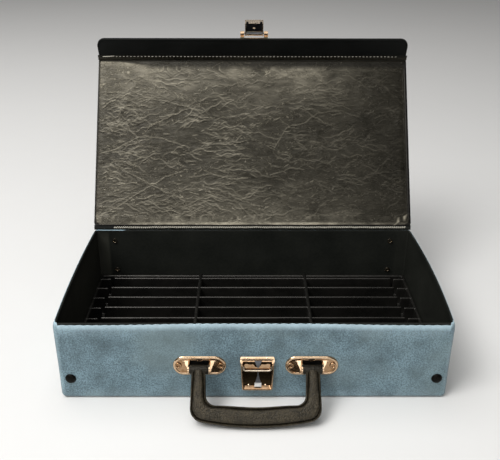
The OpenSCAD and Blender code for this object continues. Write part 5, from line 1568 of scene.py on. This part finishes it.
def mould_handle():
    """Handle: a band between the two edges. Its thickness depends on the distance from the nearer edge: a
    rounded ridge, a groove, a step up and a crowned middle. A bored barrel lies across the top of each
    leg."""
    outer, inner = handle_outline()
    width = np.linalg.norm(inner - outer, axis=1)[:, None]
    levels = np.array([(0.0, 0.0), (0.0, 1.6), (0.2, 2.4), (0.6, 2.9), (1.1, 3.05), (1.5, 2.8), (1.85, 2.0),
                       (2.2, 1.6), (2.55, 2.1), (2.9, 3.5), (3.5, 4.5), (4.6, 5.0)])
    near = levels[:, 0]
    middle, flat_from = np.linspace(0, 1, 9)[1:-1], near[-1]
    from_outer = np.concatenate([np.repeat(near[None], len(width), 0),
                                 flat_from + (width - 2 * flat_from) * middle, width - near[::-1]], 1)
    thick = np.concatenate([levels[:, 1], 5.0 + 0.18 * np.sin(math.pi * middle), levels[::-1, 1]])
    share = (from_outer / width)[..., None]
    flat = outer[:, None] * (1 - share) + inner[:, None] * share
    front = GRIP.at(flat[..., 0], flat[..., 1], thick[None])
    back = GRIP.at(flat[..., 0], flat[..., 1], -thick[None])
    blocks = [tube(np.concatenate([front, back[:, -2:0:-1]], 1))]
    nearer = np.minimum(from_outer, width - from_outer)
    # Painted shade in the groove along each edge
    groove = 0.6 * np.exp(-((nearer - 2.2) / 0.45) ** 2)
    groove = [np.concatenate([groove, groove[:, -2:0:-1]], 1).ravel()]
    barrel_r, half_l, bore, barrel_x = 4.2, 8.4, 1.55, 50.7
    turn = np.linspace(0, 2 * math.pi, 41)[:-1]
    end = [(half_l - 0.7, barrel_r), (half_l - 0.18, barrel_r - 0.15), (half_l, barrel_r - 0.6),
           (half_l, bore)]
    profile = np.array([(-x, radius) for x, radius in end[::-1]] + end)
    along, radius = profile[:, :1], profile[:, 1:]
    for side in (-1, 1):
        rings = GRIP.at(side * barrel_x + along + 0 * turn, radius * np.cos(turn), radius * np.sin(turn))
        blocks.append(grid(rings, wrap_rows=True, wrap_cols=True))
        # The barrels are darkened through the same value
        groove.append(np.full(rings.shape[0] * rings.shape[1], 0.72))
    handle = make("moulded_handle", blocks, "grip_plastic", sharp=42, fade={"groove": np.concatenate(groove)})
    return settle(handle, "handle", "black_plastic", "handle")


# Catch and hasp

def rounded(polygon, radius):
    """Polygon with round corners: each corner becomes an arc that touches both its sides, as a quadratic
    curve between the two touching points."""
    polygon = np.array(polygon, float)
    t = np.linspace(0, 1, 5)[:, None]
    runs = []
    for before, corner, after in zip(np.roll(polygon, 1, 0), polygon, np.roll(polygon, -1, 0)):
        start = corner + (before - corner) / np.linalg.norm(before - corner) * radius
        end = corner + (after - corner) / np.linalg.norm(after - corner) * radius
        runs.append((1 - t) ** 2 * start + 2 * t * (1 - t) * corner + t ** 2 * end)
    return np.concatenate(runs)


def catch_frame():
    """Pressed frame of the catch: rings from its outline over the rounded front to its window, and back down
    a sloped sill. Its front leans back above the slider and rolls over at the top."""
    low, high = box("catch_body")
    middle, foot, crown = front_middle("catch_body")[0], low[2] + 1.6, high[2] - 1.0
    top_half, foot_half = 15.5, 14.0
    centre = np.array([0.0, (foot + crown) / 2])

    def four_sided(low_half, low_z, high_half, high_z, radius):
        """Outline with round corners, as wide below and above as it is told"""
        corner = [(-low_half, low_z), (low_half, low_z), (high_half, high_z), (-high_half, high_z)]
        return rounded(np.array(corner) - centre, radius)

    def shell(inset):
        """Outline drawn in by a distance"""
        return four_sided(foot_half - inset, foot + inset, top_half - inset, crown - inset, 1.6)

    def window(sill, grow=0.0):
        """Outline of the opening, whose lower side is the sill"""
        return four_sided(12.6 + grow, sill - grow, 13.2 + grow, 43.0 + grow, 0.9)

    front_sill, back_sill, face = 13.4, 15.2, 4.2
    loops = [(shell(0), 0.0), (shell(0), 3.0), (shell(0.2), 3.6), (shell(0.5), 4.0), (shell(0.9), face),
             (window(front_sill, 0.45), face), (window(front_sill, 0.15), 4.1), (window(front_sill), 3.8),
             (window(back_sill), 0.8), (window(back_sill), 0.0)]
    angles = round_angles(120, shell(0), window(front_sill))
    lean_z, lean_out = crown + np.array([-6.0, -1.5, -1.0, -0.5, 0.0]), [face, 1.9, 1.35, 0.7, 0.0]
    rings = []
    for loop, out in loops:
        flat = ray_outline(loop, angles)[:, None] * unit(angles) + centre
        lean = np.interp(flat[:, 1], lean_z, lean_out)
        rings.append(FRONT.at(middle + flat[:, 0], flat[:, 1], np.minimum(out, lean)))
    points = np.stack(rings)
    dull = np.array([0, 0, 0, 0, 0.35, 0.5, 0.5, 0.6, 0.6, 0.6])
    pressed = make("pressed_catch", [grid(points, wrap_rows=True, wrap_cols=True)], "brass_plate", sharp=28,
                   fade={"wear": (dull[:, None] * (points[..., 2] < crown - 1.7)).ravel()})
    settle(pressed, "base", "brass_plate", "catch_body")
    # Back plate in the catch's recess, in near-black brass: painted shade
    plate = [(-13.0, 15.0), (13.0, 15.0), (13.6, 43.8), (-13.6, 43.8)]
    back = prism(plate, 0.05, 0.8, lambda x, z, out: FRONT.at(middle + x, z, out))
    settle(make("catch_back_plate", [back], "dark_brass"), "base", "brass_plate")


def catch_slide():
    """Sliding latch: a plate with a wavy top and a notch, and a rounded rib round its foot and its sides"""
    middle, foot, top, half = front_middle("catch_body")[0], 34.2, 40.6, 12.4
    wave = [(half, top - 2.2), (half - 1.2, top - 1.3), (half - 3.0, top - 0.9), (half - 4.6, top - 1.5),
            (half - 6.4, top - 1.7), (half - 8.4, top - 1.2), (1.7, foot + 2.4)]
    edge = [(-half, foot), (half, foot)] + wave + [(-x, z) for x, z in wave[::-1]]
    plate = prism(edge, 1.95, 2.65, lambda x, z, out: FRONT.at(middle + x, z, out - 0.2 * (z - foot)))
    ledge_half, ledge_low, ledge_high = half - 1.5, foot - 1.25, foot - 0.65
    ledge = [(-ledge_half, ledge_low), (ledge_half, ledge_low), (ledge_half, ledge_high),
             (-ledge_half, ledge_high)]
    ledge = prism(ledge, 2.0, 4.6, lambda x, z, out: FRONT.at(middle + x, z, out))
    bend = 2.2
    t = np.linspace(0, math.pi / 2, 7)
    left = np.stack([-half + bend * (1 - np.sin(t)), foot + bend * (1 - np.cos(t))], -1)[::-1]
    right = left[::-1] * (-1, 1)
    path = np.concatenate([[(-half, top - 1.6)], left, np.linspace(left[-1], right[0], 12)[1:-1], right,
                           [(half, top - 1.6)]])
    turn = np.linspace(0, 2 * math.pi, 14, endpoint=False)
    across = 0.85 * np.cos(turn)
    level = 4.5 + 0.6 * np.sin(turn)
    flat = path[:, None] + leftwards(path)[:, None] * across[None, :, None]
    rib = tube(FRONT.at(middle + flat[..., 0], flat[..., 1], level[None] + 0 * flat[..., 0]))
    # The latch is one brass part: its plate is dulled, painted shade, and its rib takes the paler metal, a
    # painted highlight
    settle(make("sliding_latch", [plate, ledge], "brass_plate", sharp=45,
                fade={"wear": np.full(len(plate[0]) + len(ledge[0]), 0.55)}),
           "slider", "brass_plate", "catch_slider")
    settle(make("sliding_latch_rib", [rib], "nickel", sharp=45), "slider", "brass_plate")


# Piece, the node it copies, its finish, the width of its rounded edges, its body and its slot
SMALL_METAL = (
    ("hasp_base_plate", "hasp_base", "brass_plate", 0.22, "flap", "brass_plate"),
    ("pressed_hasp", "hasp", "nickel", 0.3, "hasp", "rivet_metal"),
    # The plate inside the hasp is near-black: painted shade
    ("hasp_tongue_plate", "hasp_tongue", "dark_steel", 0.15, "hasp", "dark_steel"),
)

KEPT_NODES = {
    "bottom_cover": "under_vinyl", "bottom_board": "board", "lid_board": "board", "flap_board": "board",
    "handle_pins": "steel", "catch_rivets": "brass_plate", "hasp_base_rivets": "brass_plate",
    "hasp_pin": "steel", "hasp_tongue_rivet": "rivet_metal",
}


def press_small_metal():
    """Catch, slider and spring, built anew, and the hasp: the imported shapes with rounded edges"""
    catch_frame()
    catch_slide()
    middle = front_middle("catch_body")[0] + 0.7
    spring = [((-3.3, 44.0), (3.3, 44.0), (0.5, 36.4), (-0.5, 36.4), 2.8, 3.3),
              ((0.3, 28.0), (2.7, 18.2), (-2.7, 18.2), (-0.3, 28.0), 0.9, 1.4),
              ((0.5, 37.0), (0.5, 27.5), (-0.5, 27.5), (-0.5, 37.0), 1.2, 1.7)]
    leaf = [prism(outline_of_leaf, back, front, lambda x, z, out: FRONT.at(middle + x, z, out))
            for *outline_of_leaf, back, front in spring]
    settle(make("steel_spring", leaf, "steel"), "base", "steel", "catch_spring")
    # The spring's hook, in near-white steel: painted highlight on its top
    side = [(18.4, 0.9), (18.4, 1.4), (17.9, 2.6), (15.6, 3.5), (15.2, 3.1), (17.2, 2.0)]
    hook = prism(side, middle - 3.1, middle + 3.1, lambda z, out, x: FRONT.at(x, z, out))
    settle(make("spring_hook", [hook], "bright_steel"), "base", "steel")
    for name, node, finish, width, body, slot in SMALL_METAL:
        settle(bevelled(name, node, finish, width), body, slot, node)


def finish_nodes():
    """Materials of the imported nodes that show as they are"""
    for node, finish in KEPT_NODES.items():
        mesh = frame["nodes"][node].data
        mesh.materials.clear()
        mesh.materials.append(material(finish))
    for node, thing in frame["nodes"].items():
        if not thing.hide_render and node not in KEPT_NODES:
            raise RuntimeError(f"{node} has no finish")


# Stage

def lay_floor():
    """Level sheet just below the case"""
    size, level = 9000.0, -0.05
    flat = np.array([[[x, y, level] for y in (-size, size)] for x in (-size, size)])
    floor = make("floor", [grid(flat)], "floor_paint", away=(0, 0, -1000))


def hang_lamps():
    """Three lamps, each a rectangle that faces a point"""
    stage = bpy.context.scene.case_stage
    for name, power, place, across, tall, look_at in (
            ("key lamp", stage.key_power, (-0.98, -0.85, 1.75), 1.0, 1.0, (0, 0, 0.1)),
            ("top lamp", stage.top_power, (-0.7, -0.25, 2.2), 2.2, 3.4, (-0.7, 0, 0)),
            ("front lamp", stage.front_power, (-0.15, -2.4, 0.8), 2.2, 0.65, (0, 0, 0.1))):
        data = bpy.data.lights.new(name, "AREA")
        data.shape = "RECTANGLE"
        data.energy, data.size, data.size_y = power, across, tall
        lamp = bpy.data.objects.new(name, data)
        bpy.context.scene.collection.objects.link(lamp)
        lamp.location = place
        lamp.rotation_euler = Vector(np.array(look_at) - place).to_track_quat("-Z", "Y").to_euler()


def light_room():
    """Light from all round, brighter from above, behind a plain wall"""
    world = bpy.data.worlds.new("room")
    bpy.context.scene.world = world
    world.use_nodes = True
    tree = world.node_tree
    background = tree.nodes["Background"]
    way = tree.nodes.new("ShaderNodeTexCoord").outputs["Generated"]
    height = put(tree, "ShaderNodeSeparateXYZ", {0: way}).outputs["Z"]
    rising = spread(tree, height, -0.1, 0.9)
    sky = blend_colours(tree, rising, (0.12, 0.12, 0.12), (1.0, 1.0, 1.0))
    lead(tree, sky, background.inputs["Color"])
    lead(tree, bpy.context.scene.case_stage.sky, background.inputs["Strength"])
    pale = put(tree, "ShaderNodeBackground", {"Color": (0.80, 0.80, 0.80), "Strength": 1.0})
    seen = tree.nodes.new("ShaderNodeLightPath").outputs["Is Camera Ray"]
    both = put(tree, "ShaderNodeMixShader", {0: seen, 1: background.outputs[0], 2: pale.outputs[0]})
    lead(tree, both.outputs[0], tree.nodes["World Output"].inputs["Surface"])


def place_camera():
    """Camera: turned by the yaw, lowered by the pitch and tilted by the roll"""
    stage = bpy.context.scene.case_stage
    data = bpy.data.cameras.new("camera")
    data.lens, data.sensor_width, data.clip_start = stage.lens, 36.0, 0.01
    camera = bpy.data.objects.new("camera", data)
    bpy.context.scene.collection.objects.link(camera)
    level = math.cos(stage.pitch)
    forward = np.array([math.sin(stage.yaw) * level, math.cos(stage.yaw) * level, -math.sin(stage.pitch)])
    right = np.array([math.cos(stage.yaw), -math.sin(stage.yaw), 0])
    up = np.cross(right, forward)
    c, s = math.cos(stage.roll), math.sin(stage.roll)
    right, up = right * c + up * s, up * c - right * s
    turn = Matrix(np.stack([right, up, -forward], -1).tolist()).to_4x4()
    camera.matrix_world = Matrix.Translation(stage.place) @ turn
    bpy.context.scene.camera = camera


# Operators

class CASE_OT_stage(bpy.types.Operator):
    """Lay the floor, hang the lamps and place the camera"""
    bl_idname = "case.stage"
    bl_label = "Stage"

    def execute(self, context):
        lay_floor()
        hang_lamps()
        light_room()
        place_camera()
        context.scene.view_settings.view_transform = "Standard"
        return {"FINISHED"}


class CASE_OT_base(bpy.types.Operator):
    """Wrap the base in vinyl, line it and fit its boards"""
    bl_idname = "case.base"
    bl_label = "Base"

    def execute(self, context):
        wrap_base()
        line_base()
        fit_boards()
        return {"FINISHED"}


class CASE_OT_tray(bpy.types.Operator):
    """Mould the tray with its ribs and dividers"""
    bl_idname = "case.tray"
    bl_label = "Tray"

    def execute(self, context):
        mould_tray()
        return {"FINISHED"}


class CASE_OT_lid(bpy.types.Operator):
    """Cover and line the lid"""
    bl_idname = "case.lid"
    bl_label = "Lid"

    def execute(self, context):
        cover_lid()
        line_lid()
        return {"FINISHED"}


class CASE_OT_flap(bpy.types.Operator):
    """Cover and line the flap"""
    bl_idname = "case.flap"
    bl_label = "Flap"

    def execute(self, context):
        cover_flap()
        line_flap()
        return {"FINISHED"}


class CASE_OT_seams(bpy.types.Operator):
    """Sew the hinge, the fold and the rims"""
    bl_idname = "case.seams"
    bl_label = "Hinge, fold and seams"

    def execute(self, context):
        sew_hinge()
        sew_fold()
        sew_seams()
        return {"FINISHED"}


class CASE_OT_plates(bpy.types.Operator):
    """Press the handle plates and set their rivets"""
    bl_idname = "case.plates"
    bl_label = "Handle plates"

    def execute(self, context):
        handle_plate("left")
        handle_plate("right")
        set_plate_rivets()
        shade_plate_windows()
        return {"FINISHED"}


class CASE_OT_handle(bpy.types.Operator):
    """Mould the handle"""
    bl_idname = "case.handle"
    bl_label = "Handle"

    def execute(self, context):
        mould_handle()
        return {"FINISHED"}


class CASE_OT_studs(bpy.types.Operator):
    """Turn the studs and the rear feet"""
    bl_idname = "case.studs"
    bl_label = "Studs and feet"

    def execute(self, context):
        turn_studs()
        return {"FINISHED"}


class CASE_OT_metal(bpy.types.Operator):
    """Press the catch, its slider and spring, and the hasp"""
    bl_idname = "case.metal"
    bl_label = "Catch and hasp"

    def execute(self, context):
        press_small_metal()
        return {"FINISHED"}


class CASE_OT_nodes(bpy.types.Operator):
    """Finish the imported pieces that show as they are"""
    bl_idname = "case.nodes"
    bl_label = "Other pieces"

    def execute(self, context):
        finish_nodes()
        return {"FINISHED"}


STEPS = (CASE_OT_stage, CASE_OT_base, CASE_OT_tray, CASE_OT_lid, CASE_OT_flap, CASE_OT_seams, CASE_OT_plates,
         CASE_OT_handle, CASE_OT_studs, CASE_OT_metal, CASE_OT_nodes)
GROUPS_OF_VALUES = (("case_look", CaseLook), ("case_sizes", CaseSizes), ("case_stage", CaseStage))


class CASE_PT_panel(bpy.types.Panel):
    """Lists the case's sizes, colours and steps"""
    bl_idname = "CASE_PT_panel"
    bl_label = "Travel case"
    bl_space_type = "VIEW_3D"
    bl_region_type = "UI"
    bl_category = "Case"

    def draw(self, context):
        for name, kind in GROUPS_OF_VALUES:
            part = self.layout.box()
            for label in kind.__annotations__:
                part.prop(getattr(context.scene, name), label)
        for step in STEPS:
            self.layout.operator(step.bl_idname)


def register():
    for name, kind in GROUPS_OF_VALUES:
        bpy.utils.register_class(kind)
        setattr(bpy.types.Scene, name, bpy.props.PointerProperty(type=kind))
    for step in STEPS:
        bpy.utils.register_class(step)
    bpy.utils.register_class(CASE_PT_panel)


def unregister():
    bpy.utils.unregister_class(CASE_PT_panel)
    for step in reversed(STEPS):
        bpy.utils.unregister_class(step)
    for name, kind in reversed(GROUPS_OF_VALUES):
        delattr(bpy.types.Scene, name)
        bpy.utils.unregister_class(kind)


def main():
    register()
    for step in STEPS:
        family, action = step.bl_idname.split(".")
        getattr(getattr(bpy.ops, family), action)()
    bpy.context.view_layer.update()


if __name__ == "__main__":
    main()
